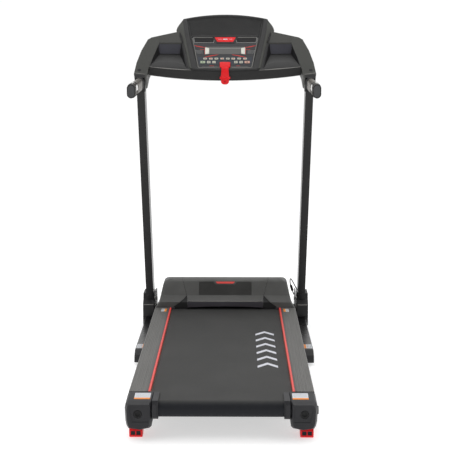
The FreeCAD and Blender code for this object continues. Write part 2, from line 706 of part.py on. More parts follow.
HOOD_SIDE = [(410, 119), (411, 133), (420, 148), (438, 168), (466, 219), (476, 225), (494, 228),
             (520, 226), (560, 217.5), (610, 203), (660, 181), (700, 154), (726, 128), (733, 118.4)]
HOOD_FRONT = [(279, 118.4), (276, 124), (261, 147), (252, 190), (246, 212), (239, 222), (228, 229)]
HOOD_PLAN = [(280, 404), (279, 425), (266, 480), (262, 560), (260, 680), (240, 740)]


def shifted(corners, across, up):
    """Corners of half an outline moved by two amounts."""
    return [(corner[0] + across, corner[1] + up) for corner in corners]


def hood_block(inset):
    """The hood's outer form, or the hollow inside it, from its side, front and plan outlines."""
    middle_y, low = 572.0, 118.4
    side = []
    for y, z in HOOD_SIDE:
        towards = inset if y < middle_y else -inset
        side.append((y + towards, z - inset if z > low + 1 else low - (1 if inset else 0)))
    front = shifted(HOOD_FRONT, -inset, 0)
    front[0] = (front[0][0], low - 1)
    plan = shifted(HOOD_PLAN, -inset, 0)
    return common(pad("YZ", (-300, 300), side), pad("XZ", (400, 745), whole(front)),
                  pad("XY", (100, 240), whole(plan)))


def make_hood():
    """The motor hood: a middle moulding, two side covers and a louvred grille."""
    shell = cut(hood_block(0), hood_block(cell.hood_wall.value))
    seam = [(150.5, 90), (150.5, 162), (170, 240)]
    middle = pad("XZ", (390, 760), whole(seam))
    recess_start, recess_end, recess_depth = 1.2, 57, 2.4
    grille_room = pad("YZ", (-105.4, 105.4),
                      [on_slope(recess_start, recess_depth), on_slope(recess_start, -2),
                       on_slope(recess_end, -2), on_slope(recess_end, recess_depth)])
    mouth = pad("XZ", (400, 428), [(-152, 117), (152, 117), (148, 131), (100, 134), (-100, 134),
                                   (-148, 131)])
    keep("motor_hood", cut(common(shell, middle), grille_room, mouth))
    keep("hood_side_covers", cut(shell, middle))

    louvres, start, end, back = 15, recess_start + 0.4, recess_end - 0.4, recess_depth - 0.2
    pitch = (end - start) / louvres
    corners = [on_slope(start, back), on_slope(end, back)]
    for index in range(louvres, 0, -1):
        base = start + pitch * index
        for share, depth in ((0.05, 0.2), (0.45, 0.2), (0.6, 1.5), (0.9, 1.5)):
            corners.append(on_slope(base - share * pitch, depth))
    keep("hood_grille", pad("YZ", (-105, 105), corners))


def on_slope(along, depth):
    """A point on the hood's sloping rear face in side view: a way up it, and a depth into it."""
    foot, head = V(*HOOD_SIDE[3], 0), V(*HOOD_SIDE[4], 0)
    slope = (head - foot).normalize()
    point = foot + slope * along + V(slope.y, -slope.x, 0) * depth
    return (point.x, point.y)


MOTOR_FEET = (575, 625)
MOTOR_FOOT_STARTS = (-120, -60)


def make_motor_bay():
    """The tray, motor, drive belt, controller and mains inlet under the hood."""
    half, wall, low = cell.tray_half, cell.sheet_wall, cell.tray_low
    rear, front = cell.tray_rear, cell.tray_front
    brim = 117
    floor = box((-half, half), (rear, front), (low, low + wall))
    nose = box((-half, half), (front - wall, front), (low, brim))
    side = box((half - wall, half), (rear, front), (low, brim))
    slot_half = cell.shaft_radius + 1
    roller_slot = box((-half - 1, half + 1),
                      (cell.front_roller_y - slot_half, cell.front_roller_y + slot_half), (84, brim + 1))
    posts = [box((near, near + 20), MOTOR_FEET, (low, cell.motor_seat)) for near in MOTOR_FOOT_STARTS]
    inlet_room = box((150, 180), (front - wall - 1, front + 1), (72, 96))
    rocker_room = box((188, 218), (front - wall - 1, front + 1), (70, 98))
    tray = fuse(floor, nose, side, mirrored(side), *posts)
    keep("motor_tray", cut(tray, inlet_room, rocker_room, roller_slot))

    centre = (cell.motor_y, cell.motor_height)
    can = fuse(cylinder("X", (-150, 30), centre, cell.motor_radius),
               cylinder("X", (-158, -150), centre, 20),
               *[box((near, near + 20), MOTOR_FEET, (cell.motor_seat, 100)) for near in MOTOR_FOOT_STARTS])
    bore = cylinder("X", (-160, -60), centre, 6 + cell.fit_gap)
    keep("drive_motor", cut(can, bore))
    keep("motor_rotor", fuse(cylinder("X", (-cell.pulley_out, -62), centre, 6),
                             cylinder("X", (-209, -162), centre, cell.rotor_radius),
                             cylinder("X", (-cell.pulley_out, -cell.pulley_in), centre,
                                      cell.small_pulley)))

    board = box((70, 210), (520, 640), (low + wall, 58))
    fins = [box((78 + 12 * step, 82 + 12 * step), (530, 630), (58, 96)) for step in range(9)]
    keep("motor_controller", fuse(board, *fins))

    socket = fuse(box((146, 184), (front, front + 3), (68, 100)),
                  box((150, 180), (front - 22, front), (72, 96)))
    socket = cut(socket, box((154, 176), (front - 16, front + 4), (76, 92)))
    room = box((190, 216), (front - 16, front + 4), (72, 96))
    pivot = (front - 6, 84)
    frame = cut(fuse(box((186, 220), (front, front + 3), (68, 100)),
                     box((188, 218), (front - 14, front), (70, 98))),
                room, cylinder("X", (188, 218), pivot, cell.rocker_pin + cell.fit_gap))
    keep("power_inlet", fuse(socket, frame, box((184, 186), (front, front + 3), (80, 90))))
    rocker = pad("YZ", (191, 215), [(front - 13, 77), (front + 2, 75.5), (front + 3.5, 84),
                                    (front + 5.5, 91.5), (front - 13, 91)])
    keep("power_rocker", fuse(rocker, cylinder("X", (188.4, 217.6), pivot, cell.rocker_pin)))


def make_drive_belt():
    """The ribbed belt from the motor pulley to the front roller's pulley."""
    gap = SIZES["roller_gap"]
    small = V(SIZES["motor_y"], SIZES["motor_height"], 0)
    big = V(SIZES["front_roller_y"], roller_height().value, 0)
    line = small - big
    heading = math.atan2(line.y, line.x)
    loops = []
    for thick in (gap + SIZES["vee_belt"], gap):
        radius_big, radius_small = SIZES["big_pulley"] + thick, SIZES["small_pulley"] + thick
        spread = math.acos((radius_big - radius_small) / line.Length)
        corners = []
        for centre, radius, turn in ((big, radius_big, 1), (small, radius_small, -1)):
            for side in (turn, -turn):
                angle = heading + side * spread
                corners.append(centre + V(math.cos(angle), math.sin(angle), 0) * radius)
        far_big = big - V(math.cos(heading), math.sin(heading), 0) * radius_big
        far_small = small + V(math.cos(heading), math.sin(heading), 0) * radius_small
        points = [V(0, point.x, point.y) for point in (*corners, far_big, far_small)]
        wire = Part.Wire([Part.Arc(points[0], points[4], points[1]).toShape(),
                          Part.LineSegment(points[1], points[2]).toShape(),
                          Part.Arc(points[2], points[5], points[3]).toShape(),
                          Part.LineSegment(points[3], points[0]).toShape()])
        loops.append(Part.Face(wire).extrude(V(SIZES["pulley_out"] - SIZES["pulley_in"] - 2, 0, 0)))
    band = loops[0].cut(loops[1])
    item = doc.addObject("Part::Feature", "DriveBelt")
    item.Shape = band
    item.Placement = FreeCAD.Placement(V(1 - SIZES["pulley_out"], 0, 0), FreeCAD.Rotation())
    keep("drive_belt", item)


def make_incline_feet():
    """The red rear feet on one cross rod, with the knob that turns them."""
    y, height = cell.foot_y, cell.foot_height
    back = y - 79
    lever = pad("YZ", (cell.foot_in, cell.foot_out),
                [(y + 11, height, 11), (y - 11, height), (y - 13, 38), (y - 20, 30), (back + 4, 29),
                 (back, 22), (back + 2, 4), (back + 7, 0), (back + 39, 0), (back + 47, 8), (y - 18, 20),
                 (y, 30)])
    beam_room = box((cell.beam_inner - cell.body_gap, cell.beam_outer + cell.body_gap),
                    (y - 20, y + 20), (0, 90))
    rod_hole = cylinder("X", (cell.foot_in - 1, cell.foot_out + 1), (y, height), cell.foot_rod)
    recesses = [box((low, low + 13), (back - 1, back + 3.5), (8, 21))
                for low in (cell.foot_in + 5, cell.foot_in + 21)]
    foot = cut(lever, beam_room, rod_hole, *recesses)
    keep("incline_feet", group(foot, mirrored(foot)))
    keep("incline_rod", cylinder("X", (-cell.foot_out + 2, cell.rail_outer + 2), (y, height), cell.foot_rod))
    knob = cylinder("X", (cell.rail_outer + 2, cell.knob_out), (y, height), cell.knob_radius)
    flutes = []
    for step in range(8):
        angle = math.radians(45 * step)
        centre = (y + 14.5 * math.cos(angle), height + 14.5 * math.sin(angle))
        flutes.append(cylinder("X", (cell.rail_outer + 1, cell.knob_out + 1), centre, 3.4))
    keep("incline_knob", cut(knob, *flutes))


# ---------------------------------------------------------------- signal cable

CABLE_RADIUS = 2.1
CABLE_ROUTE = [V(294, 586, 160), V(288, 587, 170), V(281.5, 589, 182), V(275, 594, 194), V(269.5, 604, 202),
               V(266.5, 616, 200), V(266, 624, 190), V(266.5, 627, 179.5), V(269.5, 628.5, 170)]


def make_cable():
    """The thin lead that comes out of the right upright and loops back to the bracket."""
    route = CABLE_ROUTE
    edges, start = [], route[0]
    for before, corner, after in zip(route, route[1:], route[2:]):
        arriving, leaving = corner - before, after - corner
        turn = arriving.getAngle(leaving)
        trim = 0.45 * min(arriving.Length, leaving.Length)
        radius = trim / math.tan(turn / 2)
        print(f"cable radius {radius:.1f} mm, turn {math.degrees(turn):.0f} degrees")
        first = corner - arriving.normalize() * trim
        last = corner + leaving.normalize() * trim
        inward = (first + last) * 0.5 - corner
        middle = corner + inward * ((radius / math.cos(turn / 2) - radius) / inward.Length)
        edges += [Part.LineSegment(start, first).toShape(), Part.Arc(first, middle, last).toShape()]
        start = last
    edges.append(Part.LineSegment(start, route[-1]).toShape())
    path = Part.Wire(edges)
    heading = route[1] - route[0]
    section = Part.Wire([Part.Circle(route[0], heading, CABLE_RADIUS).toShape()])
    tube = path.makePipeShell([section], True, False)
    expected = math.pi * CABLE_RADIUS ** 2 * path.Length
    print(f"cable length {path.Length:.1f} mm, volume {tube.Volume:.0f} of {expected:.0f} cubic mm")
    item = doc.addObject("Part::Feature", "Cable")
    item.Shape = tube
    keep("signal_cable", item)


def make_connector():
    """The plug-and-socket joint at the lower end of the signal cable."""
    body = box((-5, 5), (-4, 4), (-24, 0))
    latch = box((-2, 2), (-6, -4), (-16, -5))
    tail = cylinder("Z", (-42.4, -24), (0, 0), CABLE_RADIUS)
    item = fuse(body, latch, tail)
    heading = CABLE_ROUTE[-1] - CABLE_ROUTE[-2]
    item.Placement = FreeCAD.Placement(CABLE_ROUTE[-1], FreeCAD.Rotation(V(0, 0, -1), heading))
    keep("cable_connector", item)


# ---------------------------------------------------------------- build, check and write

make_floor_tubes()
make_tube_ends()
make_wheels()
make_pivot_parts()
make_uprights()
make_handlebars()
make_console_shells()
make_arms()
make_display()
make_safety_key()
make_rollers()
make_running_surface()
make_deck_frame()
make_side_rails()
make_rear_caps()
make_hood()
make_motor_bay()
make_drive_belt()
make_incline_feet()
make_cable()
make_connector()
doc.recompute()

for item in doc.Objects:
    if "Invalid" in item.State or "Error" in item.State:
        raise RuntimeError(f"{item.Label} of {item.TypeId} did not build: {item.State}")
for name, item in nodes.items():
    if item.Shape.isNull() or not item.Shape.isValid() or not item.Shape.Solids:
        raise RuntimeError(f"{name} has no valid solid")

os.makedirs("parts", exist_ok=True)
for name, item in nodes.items():
    item.Shape.exportStep(f"parts/{name}.step")
print(f"{len(nodes)} sub-parts written")
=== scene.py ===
"""The looks of a folding treadmill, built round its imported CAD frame. Blender's units are metres."""

import json
import math

import bmesh
import bpy
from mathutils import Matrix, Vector


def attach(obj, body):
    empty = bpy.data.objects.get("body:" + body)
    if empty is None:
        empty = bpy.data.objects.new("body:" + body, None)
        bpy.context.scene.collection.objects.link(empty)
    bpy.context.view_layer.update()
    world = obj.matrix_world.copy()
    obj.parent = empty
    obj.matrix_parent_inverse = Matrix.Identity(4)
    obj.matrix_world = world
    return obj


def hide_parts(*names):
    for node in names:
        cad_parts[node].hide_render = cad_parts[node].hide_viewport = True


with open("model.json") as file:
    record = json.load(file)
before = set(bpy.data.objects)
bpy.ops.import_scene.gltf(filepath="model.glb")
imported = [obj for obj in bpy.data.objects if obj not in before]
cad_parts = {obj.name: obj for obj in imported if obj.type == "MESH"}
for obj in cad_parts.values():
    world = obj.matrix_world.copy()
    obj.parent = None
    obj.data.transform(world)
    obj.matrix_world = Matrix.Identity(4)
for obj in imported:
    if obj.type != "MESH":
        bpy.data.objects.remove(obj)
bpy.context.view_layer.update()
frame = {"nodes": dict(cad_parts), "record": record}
nodes = frame["nodes"]
MM = 0.001


def mm(*values):
    """A point or vector given in millimetres, in metres."""
    return Vector([value * MM for value in values])


def add_object(name, data):
    """A new object in the scene."""
    item = bpy.data.objects.new(name, data)
    bpy.context.scene.collection.objects.link(item)
    return item


# ---- camera and cable

SENSOR_WIDTH, LENS = 36, 90.8
CAMERA_PLACE, CAMERA_DIP, CAMERA_YAW = (0.042, -3.979, 1.128), 8.7158, 0.556


def make_camera():
    """The main view: from behind the machine, at chest height, from about four metres."""
    data = bpy.data.cameras.new("photo_view")
    data.sensor_width = SENSOR_WIDTH
    data.lens = LENS
    camera = add_object("photo_view", data)
    camera.location = CAMERA_PLACE
    camera.rotation_euler = (math.radians(90 - CAMERA_DIP), 0, math.radians(CAMERA_YAW))
    bpy.context.scene.camera = camera


CABLE_POINTS = [(294, 586, 160), (288, 587, 170), (281.5, 589, 182), (275, 594, 194), (269.5, 604, 202),
                (266.5, 616, 200), (266, 624, 190), (266.5, 627, 179.5), (269.5, 628.5, 170)]
CABLE_RADIUS = 2.1 * MM


def make_cable(material):
    """The signal cable that loops from the right upright to its connector."""
    data = bpy.data.curves.new("signal_cable_lead", "CURVE")
    data.dimensions = "3D"
    data.bevel_depth = CABLE_RADIUS
    data.bevel_resolution = 5
    data.resolution_u = 12
    data.use_fill_caps = True
    spline = data.splines.new("NURBS")
    spline.points.add(len(CABLE_POINTS) - 1)
    for point, place in zip(spline.points, CABLE_POINTS):
        point.co = (*mm(*place), 1)
    spline.order_u = 3
    spline.use_endpoint_u = True
    data.materials.append(material)
    cable = add_object("signal_cable_lead", data)
    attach(cable, "base")
    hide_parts("signal_cable")


# ---- materials

class Finish:
    """A procedural material round one Principled shader, in object coordinates."""

    def __init__(self, name, colour, roughness, metallic=0.0, specular=0.4):
        self.material = bpy.data.materials.new(name)
        self.material.use_nodes = True
        self.tree = self.material.node_tree
        self.link = self.tree.links.new
        self.shader = self.tree.nodes["Principled BSDF"]
        self.shader.inputs["Metallic"].default_value = metallic
        self.shader.inputs["Roughness"].default_value = roughness
        self.shader.inputs["Specular IOR Level"].default_value = specular
        self.shader.inputs["Base Color"].default_value = (*colour, 1)
        self.place = self.node("TexCoord").outputs["Object"]
        self.colour = None
        self.rough = None
        self.height = None

    def node(self, kind):
        """A new shader node of a kind."""
        return self.tree.nodes.new("ShaderNode" + kind)

    def stretched(self, scale):
        """Object coordinates multiplied along each axis."""
        node = self.node("Mapping")
        node.inputs["Scale"].default_value = scale
        self.link(self.place, node.inputs["Vector"])
        return node.outputs["Vector"]

    def noise(self, size, detail=4.0, stretch=(1, 1, 1)):
        """Noise whose features are about a size in metres, drawn out along each axis."""
        node = self.node("TexNoise")
        node.inputs["Scale"].default_value = 1 / size
        node.inputs["Detail"].default_value = detail
        self.link(self.stretched(stretch), node.inputs["Vector"])
        return node.outputs["Fac"]

    def axes(self):
        """The three object coordinates as separate values."""
        node = self.node("SeparateXYZ")
        self.link(self.place, node.inputs[0])
        return node.outputs["X"], node.outputs["Y"], node.outputs["Z"]

    def facing(self):
        """How far the surface faces the rear of the machine, from -1 to 1."""
        geometry = self.node("NewGeometry")
        node = self.node("SeparateXYZ")
        self.link(geometry.outputs["Normal"], node.inputs[0])
        return self.math("MULTIPLY", node.outputs["Y"], -1.0)

    def math(self, operation, first, second=0.0, third=0.0):
        """One arithmetic step between sockets or numbers."""
        node = self.node("Math")
        node.operation = operation
        for socket, value in zip(node.inputs, (first, second, third)):
            if isinstance(value, bpy.types.NodeSocket):
                self.link(value, socket)
            else:
                socket.default_value = value
        return node.outputs[0]

    def remap(self, value, low, high, out_low=0.0, out_high=1.0):
        """A value stretched from one range to another and clamped."""
        node = self.node("MapRange")
        self.link(value, node.inputs["Value"])
        for key, number in (("From Min", low), ("From Max", high), ("To Min", out_low), ("To Max", out_high)):
            node.inputs[key].default_value = number
        return node.outputs["Result"]

    def tint(self, mask, colour):
        """Paint a colour where the mask is 1, over what is there."""
        node = self.node("Mix")
        node.data_type = "RGBA"
        self.link(mask, node.inputs["Factor"])
        if self.colour is None:
            node.inputs[6].default_value = self.shader.inputs["Base Color"].default_value
        else:
            self.link(self.colour, node.inputs[6])
        node.inputs[7].default_value = (*colour, 1)
        self.colour = node.outputs[2]

    def shade(self, mask, amount):
        """Add to the roughness by an amount where the mask is 1."""
        base = self.shader.inputs["Roughness"].default_value if self.rough is None else self.rough
        self.rough = self.math("MULTIPLY_ADD", mask, amount, base)

    def raise_by(self, mask, height):
        """Add relief of a height in metres where the mask is 1."""
        extra = self.math("MULTIPLY", mask, height)
        self.height = extra if self.height is None else self.math("ADD", self.height, extra)

    def done(self):
        """Join what was gathered to the shader and return the material."""
        for value, key in ((self.colour, "Base Color"), (self.rough, "Roughness")):
            if value is not None:
                self.link(value, self.shader.inputs[key])
        if self.height is not None:
            bump = self.node("Bump")
            bump.inputs["Strength"].default_value = 1.0
            bump.inputs["Distance"].default_value = 1.0
            self.link(self.height, bump.inputs["Height"])
            self.link(bump.outputs["Normal"], self.shader.inputs["Normal"])
        return self.material

    def grained(self):
        """Add the uneven polish and fine grain of the console's mouldings, and return the material."""
        self.shade(self.noise(0.03, 5), 0.1)
        self.raise_by(self.noise(0.0009, 2), 0.00002)
        return self.done()


def moulded(name, colour, roughness=0.5, grain=0.9, depth=0.03, shift=0.25, specular=0.3):
    """Moulded plastic: a fine grain in mm, slow colour drift and uneven polish."""
    finish = Finish(name, colour, roughness, specular=specular)
    pale = [min(channel * (1 + shift) + 0.003, 1) for channel in colour]
    finish.tint(finish.remap(finish.noise(0.11, 3), 0.35, 0.7), pale)
    finish.shade(finish.noise(0.03, 5), 0.12)
    finish.raise_by(finish.noise(grain * MM, 2), depth * MM)
    return finish.done()


def printed(name, colour, roughness=0.4):
    """Ink or film on a surface: nearly even, with faint rub marks."""
    finish = Finish(name, colour, roughness, specular=0.25)
    rubbed = finish.remap(finish.noise(0.004, 5, (1, 0.3, 1)), 0.5, 0.8)
    finish.tint(rubbed, [channel * 0.82 for channel in colour])
    finish.shade(finish.noise(0.01, 3), 0.1)
    finish.raise_by(finish.noise(0.0008, 2), 0.000004)
    return finish.done()


def powder_coat(name, colour, roughness=0.3, peel=0.000005, specular=0.45):
    """Powder coat on steel: fine orange peel."""
    finish = Finish(name, colour, roughness, specular=specular)
    finish.tint(finish.remap(finish.noise(0.09, 2), 0.3, 0.7), [channel * 1.35 for channel in colour])
    finish.shade(finish.noise(0.05, 3), 0.06)
    finish.raise_by(finish.noise(0.0016, 2), peel)
    return finish.done()


def brushed(name, colour, roughness, stretch, metallic=1.0):
    """Metal with fine brush marks along one axis."""
    finish = Finish(name, colour, roughness, metallic, 0.5)
    marks = finish.noise(0.0006, 3, stretch)
    finish.tint(finish.remap(marks, 0.3, 0.75), [channel * 0.75 for channel in colour])
    finish.shade(marks, 0.16)
    finish.raise_by(marks, 0.00002)
    return finish.done()


EMBOSS_PITCH, RIDGE_PITCH = 0.0046, 0.011


def belt_finish():
    """Black running belt with a fine diamond emboss, a faint worn track and painted shade where it faces
    rearward round the roller.
    """
    finish = Finish("belt_rubber", (0.032, 0.032, 0.031), 0.6, specular=0.2)
    across, along, _ = finish.axes()
    ridges = None
    for side in (1, -1):
        slant = finish.math("MULTIPLY_ADD", across, 1.6 * side, along)
        turn = finish.math("MULTIPLY", slant, math.pi / EMBOSS_PITCH)
        wave = finish.math("ABSOLUTE", finish.math("SINE", turn))
        ridges = wave if ridges is None else finish.math("MULTIPLY", ridges, wave)
    finish.tint(finish.remap(ridges, 0.1, 0.75), (0.044, 0.044, 0.043))
    worn = finish.math("MULTIPLY", finish.remap(finish.noise(0.16, 4), 0.45, 0.7), 0.35)
    finish.tint(worn, (0.055, 0.055, 0.053))
    # Painted shade: the belt is darkened and made bluish where its surface faces rearward, round the roller.
    painted_shade_rearward = finish.remap(finish.facing(), 0.25, 0.8)
    finish.tint(painted_shade_rearward, (0.011, 0.012, 0.015))
    finish.shade(ridges, 0.1)
    finish.raise_by(ridges, 0.00028)
    return finish.done()


def rail_finish():
    """Grey foot rails with fine ridges along them and painted shade along their inner margin by the belt."""
    finish = Finish("rail_grey", (0.115, 0.113, 0.107), 0.46, specular=0.25)
    across, _, _ = finish.axes()
    ridge = finish.math("SINE", finish.math("MULTIPLY", across, 2 * math.pi / RIDGE_PITCH))
    finish.tint(finish.remap(ridge, -0.4, 0.7, 0, 0.25), (0.062, 0.061, 0.058))
    finish.tint(finish.remap(finish.noise(0.004, 3, (1, 0.02, 1)), 0.35, 0.7, 0, 0.5), (0.155, 0.152, 0.144))
    # Painted shade: the rail is darkened along its inner margin, where the gap beside the belt falls in
    # shadow.
    inner = finish.remap(finish.math("ABSOLUTE", across), 0.221, 0.229, 0.6, 0)
    finish.tint(inner, (0.028, 0.028, 0.028))
    finish.raise_by(ridge, 0.00006)
    return finish.done()


def console_finish():
    """The console's face: its wings above the trays share the greenish grey of the arms."""
    finish = Finish("console_wing", (0.02, 0.02, 0.02), 0.44, specular=0.3)
    across, _, up = finish.axes()
    wing = finish.remap(finish.math("ABSOLUTE", across), 0.163, 0.167)
    wing = finish.math("MULTIPLY", wing, finish.remap(up, 1.146, 1.158))
    finish.tint(wing, (0.043, 0.043, 0.039))
    return finish.grained()


def wood_finish():
    """Dark phenolic-faced running board."""
    finish = Finish("board_wood", (0.09, 0.055, 0.03), 0.6)
    rings = finish.noise(0.02, 6, (1, 0.08, 1))
    finish.tint(finish.remap(rings, 0.35, 0.65), (0.19, 0.12, 0.07))
    finish.raise_by(rings, 0.0001)
    return finish.done()


def arm_finish():
    """The console arms: greenish grey, with darker ends below the step by the handlebars."""
    finish = Finish("arm_body", (0.045, 0.046, 0.041), 0.42, specular=0.3)
    across, along, up = finish.axes()
    low = finish.math("MULTIPLY", finish.remap(up, 1.045, 1.038), finish.remap(along, 0.352, 0.346))
    finish.tint(finish.math("MULTIPLY", low, finish.remap(finish.math("ABSOLUTE", across), 0.3, 0.304)),
                (0.01, 0.01, 0.01))
    return finish.grained()


LOOKS = {
    moulded: {
        "black_plastic": ((0.02, 0.02, 0.021), 0.5),
        "cap_plastic": ((0.016, 0.016, 0.0185), 0.44),
        "console_plastic": ((0.019, 0.019, 0.019), 0.44),
        "arm_plastic": ((0.045, 0.046, 0.041), 0.42),
        "hood_plastic": ((0.07, 0.07, 0.067), 0.42, 0.9, 0.03, 0.25, 0.35),
        "rubber": ((0.012, 0.012, 0.012), 0.75, 1.5, 0.05),
        "panel_film": ((0.016, 0.017, 0.02), 0.3, 0.4, 0.004, 0.25, 0.35),
        "screen": ((0.1, 0.1, 0.096), 0.25, 0.4, 0.001, 0.1),
        "board_green": ((0.015, 0.15, 0.05), 0.3, 2.0, 0.02),
        "cable_black": ((0.012, 0.012, 0.012), 0.42, 0.8, 0.01),
        "connector_black": ((0.014, 0.014, 0.014), 0.4, 0.6, 0.01),
        "key_green": ((0.36, 0.43, 0.3), 0.35, 0.4, 0.004, 0.05),
        "key_red": ((0.5, 0.3, 0.24), 0.35, 0.4, 0.004, 0.05),
        "key_pale": ((0.46, 0.45, 0.38), 0.35, 0.4, 0.004, 0.05),
        "red_plastic": ((0.72, 0.008, 0.012), 0.36, 0.6, 0.01, 0.08),
        "trim_red": ((0.75, 0.07, 0.06), 0.36, 0.6, 0.01, 0.08),
        # Painted light on the trays' back walls, then a near black used for the real plugs and for painted
        # shade.
        "tray_back": ((0.042, 0.042, 0.053), 0.5),
        "tray_side": ((0.006, 0.006, 0.0065), 0.5),
        "grille_plastic": ((0.042, 0.042, 0.04), 0.5),
        # Pale strips laid on lit edges and creases as painted highlights.
        "edge_light": ((0.17, 0.165, 0.155), 0.35),
        # The hood's plastic, darkened and made bluish as painted shade on its lower band and flanges.
        "hood_band": ((0.036, 0.033, 0.04), 0.45),
        "cap_face": ((0.055, 0.056, 0.058), 0.55, 0.7, 0.02),
    },
    printed: {
        "label_white": ((0.62, 0.64, 0.68),),
        "label_orange": ((0.85, 0.27, 0.03),),
        "print_red": ((0.65, 0.03, 0.02),),
        # Grey print, also used for painted highlights round the grilles and a painted shadow on the screen.
        "print_grey": ((0.25, 0.25, 0.24),),
        # Dark print, also laid in as painted shade in wells, hollows, a hole and along the foot of the
        # upright covers.
        "print_dark": ((0.01, 0.01, 0.012),),
        "belt_print": ((0.62, 0.63, 0.68), 0.55),
        "keypad_blue": ((0.034, 0.041, 0.055),),
    },
    powder_coat: {
        "frame": ((0.005, 0.005, 0.0052), 0.25, 0.000005, 0.36),
        "motor_steel": ((0.05, 0.05, 0.055),),
    },
    brushed: {
        "zinc": ((0.62, 0.62, 0.6), 0.3, (0.05, 1, 1)),
        "silver_tube": ((0.19, 0.178, 0.16), 0.4, (1, 0.02, 1), 0.8),
        "chrome": ((0.75, 0.73, 0.71), 0.12, (1, 0.04, 1)),
        "lcd_silver": ((0.62, 0.62, 0.56), 0.4, (1, 0.1, 1), 0.6),
    },
}


def make_finishes():
    """One material for each slot of the record, and for the inks and small parts added here."""
    made = {name: look(name, *values) for look, rows in LOOKS.items() for name, values in rows.items()}
    made.update(arm_body=arm_finish(), board_wood=wood_finish(), belt_rubber=belt_finish(),
                rail_grey=rail_finish(), console_wing=console_finish())
    return made


# ---- making pieces

EDGE_ANGLE, CAD_EDGE_ANGLE = 35, 28


def round_edges(item, width, angle):
    """Round edges sharper than an angle in degrees by a width in mm, then even out the shading."""
    if width:
        edge = item.modifiers.new("bevel", "BEVEL")
        edge.width = width * MM
        edge.segments = 3
        edge.limit_method = "ANGLE"
        edge.angle_limit = math.radians(angle)
        edge.harden_normals = True
    normals = item.modifiers.new("normals", "WEIGHTED_NORMAL")
    normals.keep_sharp = True


def add_piece(name, parts, finish, body, bevel=0.0, wall=0.0):
    """A piece from parts in mm: its finish and body, rounded edges and a wall grown inward."""
    verts, faces = merged(parts)
    mesh = bpy.data.meshes.new(name)
    grid = bmesh.new()
    made = [grid.verts.new(Vector(point) * MM) for point in verts]
    for face in faces:
        grid.faces.new([made[index] for index in face])
    bmesh.ops.remove_doubles(grid, verts=grid.verts, dist=1e-6)
    bmesh.ops.recalc_face_normals(grid, faces=grid.faces)
    for face in grid.faces:
        face.smooth = True
    grid.to_mesh(mesh)
    grid.free()
    mesh.materials.append(finishes[finish])
    piece = add_object(name, mesh)
    if wall:
        solid = piece.modifiers.new("wall", "SOLIDIFY")
        solid.thickness = wall * MM
        solid.offset = -1
    round_edges(piece, bevel, EDGE_ANGLE)
    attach(piece, body)
    return piece


def skin(loops, closed=True, capped=True, ring=False):
    """Points and faces that join a run of equal loops, ended by flat caps or joined in a ring."""
    count = len(loops[0])
    verts = [point for loop in loops for point in loop]
    faces = []
    steps = len(loops) if ring else len(loops) - 1
    for row in range(steps):
        base, following = row * count, ((row + 1) % len(loops)) * count
        for index in range(count if closed else count - 1):
            other = (index + 1) % count
            faces.append((base + index, base + other, following + other, following + index))
    if capped and not ring:
        faces.append(tuple(range(count))[::-1])
        faces.append(tuple(range(len(verts) - count, len(verts))))
    return verts, faces


def sheet(rows):
    """An open sheet through rows of points."""
    return skin(rows, closed=False, capped=False)


def merged(parts):
    """Several sets of points and faces as one."""
    verts, faces = [], []
    for more_verts, more_faces in parts:
        start = len(verts)
        verts += more_verts
        faces += [tuple(start + index for index in face) for face in more_faces]
    return verts, faces


def stack(place, *levels):
    """Loops from outlines, each put in its place at its own height."""
    return [[place(a, b, height) for a, b in outline] for outline, height in levels]


def slab(outline, low, high, place):
    """A flat plate of an outline between two heights, put in its place."""
    return skin(stack(place, (outline, low), (outline, high)))


def rect(left, low, right, high):
    """An upright rectangle, anticlockwise."""
    return [(left, low), (right, low), (right, high), (left, high)]


def taper(low, low_half, high, high_half):
    """A shape even about the middle, from its half widths at two heights."""
    return [(-low_half, low), (low_half, low), (high_half, high), (-high_half, high)]


def circle(across, up, radius, count, turn=0.0):
    """A ring of points round a middle, from a starting angle."""
    angles = [2 * math.pi * k / count + turn for k in range(count)]
    return [(across + radius * math.cos(angle), up + radius * math.sin(angle)) for angle in angles]


def rounded(corners, radius, steps=5):
    """A closed outline whose corners become arcs; a corner may carry its own radius."""
    result = []
    count = len(corners)
    for index, corner in enumerate(corners):
        size = corner[2] if len(corner) == 3 else radius
        here = Vector(corner[:2])
        before, after = Vector(corners[index - 1][:2]) - here, Vector(corners[(index + 1) % count][:2]) - here
        half = before.angle(after) / 2
        trim = min(size / math.tan(half), 0.48 * before.length, 0.48 * after.length)
        inward = (before.normalized() + after.normalized()).normalized()
        centre = here + inward * (trim / math.cos(half))
        first, last = here + before.normalized() * trim - centre, here + after.normalized() * trim - centre
        sweep = first.angle(last)
        for step in range(steps + 1):
            share = step / steps
            arm = first * math.sin((1 - share) * sweep) + last * math.sin(share * sweep)
            result.append(tuple(centre + arm / math.sin(sweep)))
    return result


def inset(corners, amount):
    """An anticlockwise outline drawn in by an amount on every side."""
    result = []
    count = len(corners)
    for index, corner in enumerate(corners):
        here = Vector(corner[:2])
        before = (here - Vector(corners[index - 1][:2])).normalized()
        after = (Vector(corners[(index + 1) % count][:2]) - here).normalized()
        first, last = Vector((-before.y, before.x)), Vector((-after.y, after.x))
        moved = here + (first + last) * (amount / (1 + first.dot(last)))
        result.append((moved.x, moved.y, *corner[2:]))
    return result


def oval(radius, flat, steps=12):
    """An upright oval: two half circles a flat apart, anticlockwise from the right."""
    result = []
    for side in (0, 1):
        for step in range(steps + 1):
            angle = math.pi * (side + step / steps)
            result.append((radius * math.cos(angle), radius * math.sin(angle) + (flat, -flat)[side]))
    return result


def mirror(outline):
    """An outline reflected in the middle plane, still anticlockwise."""
    return [(-corner[0], *corner[1:]) for corner in reversed(outline)]


def both(outline):
    """An outline and its reflection."""
    return [outline, mirror(outline)]


def between(points, value):
    """Straight-line interpolation of (input, output) points in rising input order."""
    if value <= points[0][0]:
        return points[0][1]
    for (low, first), (high, last) in zip(points, points[1:]):
        if value <= high:
            return first + (last - first) * (value - low) / (high - low)
    return points[-1][1]


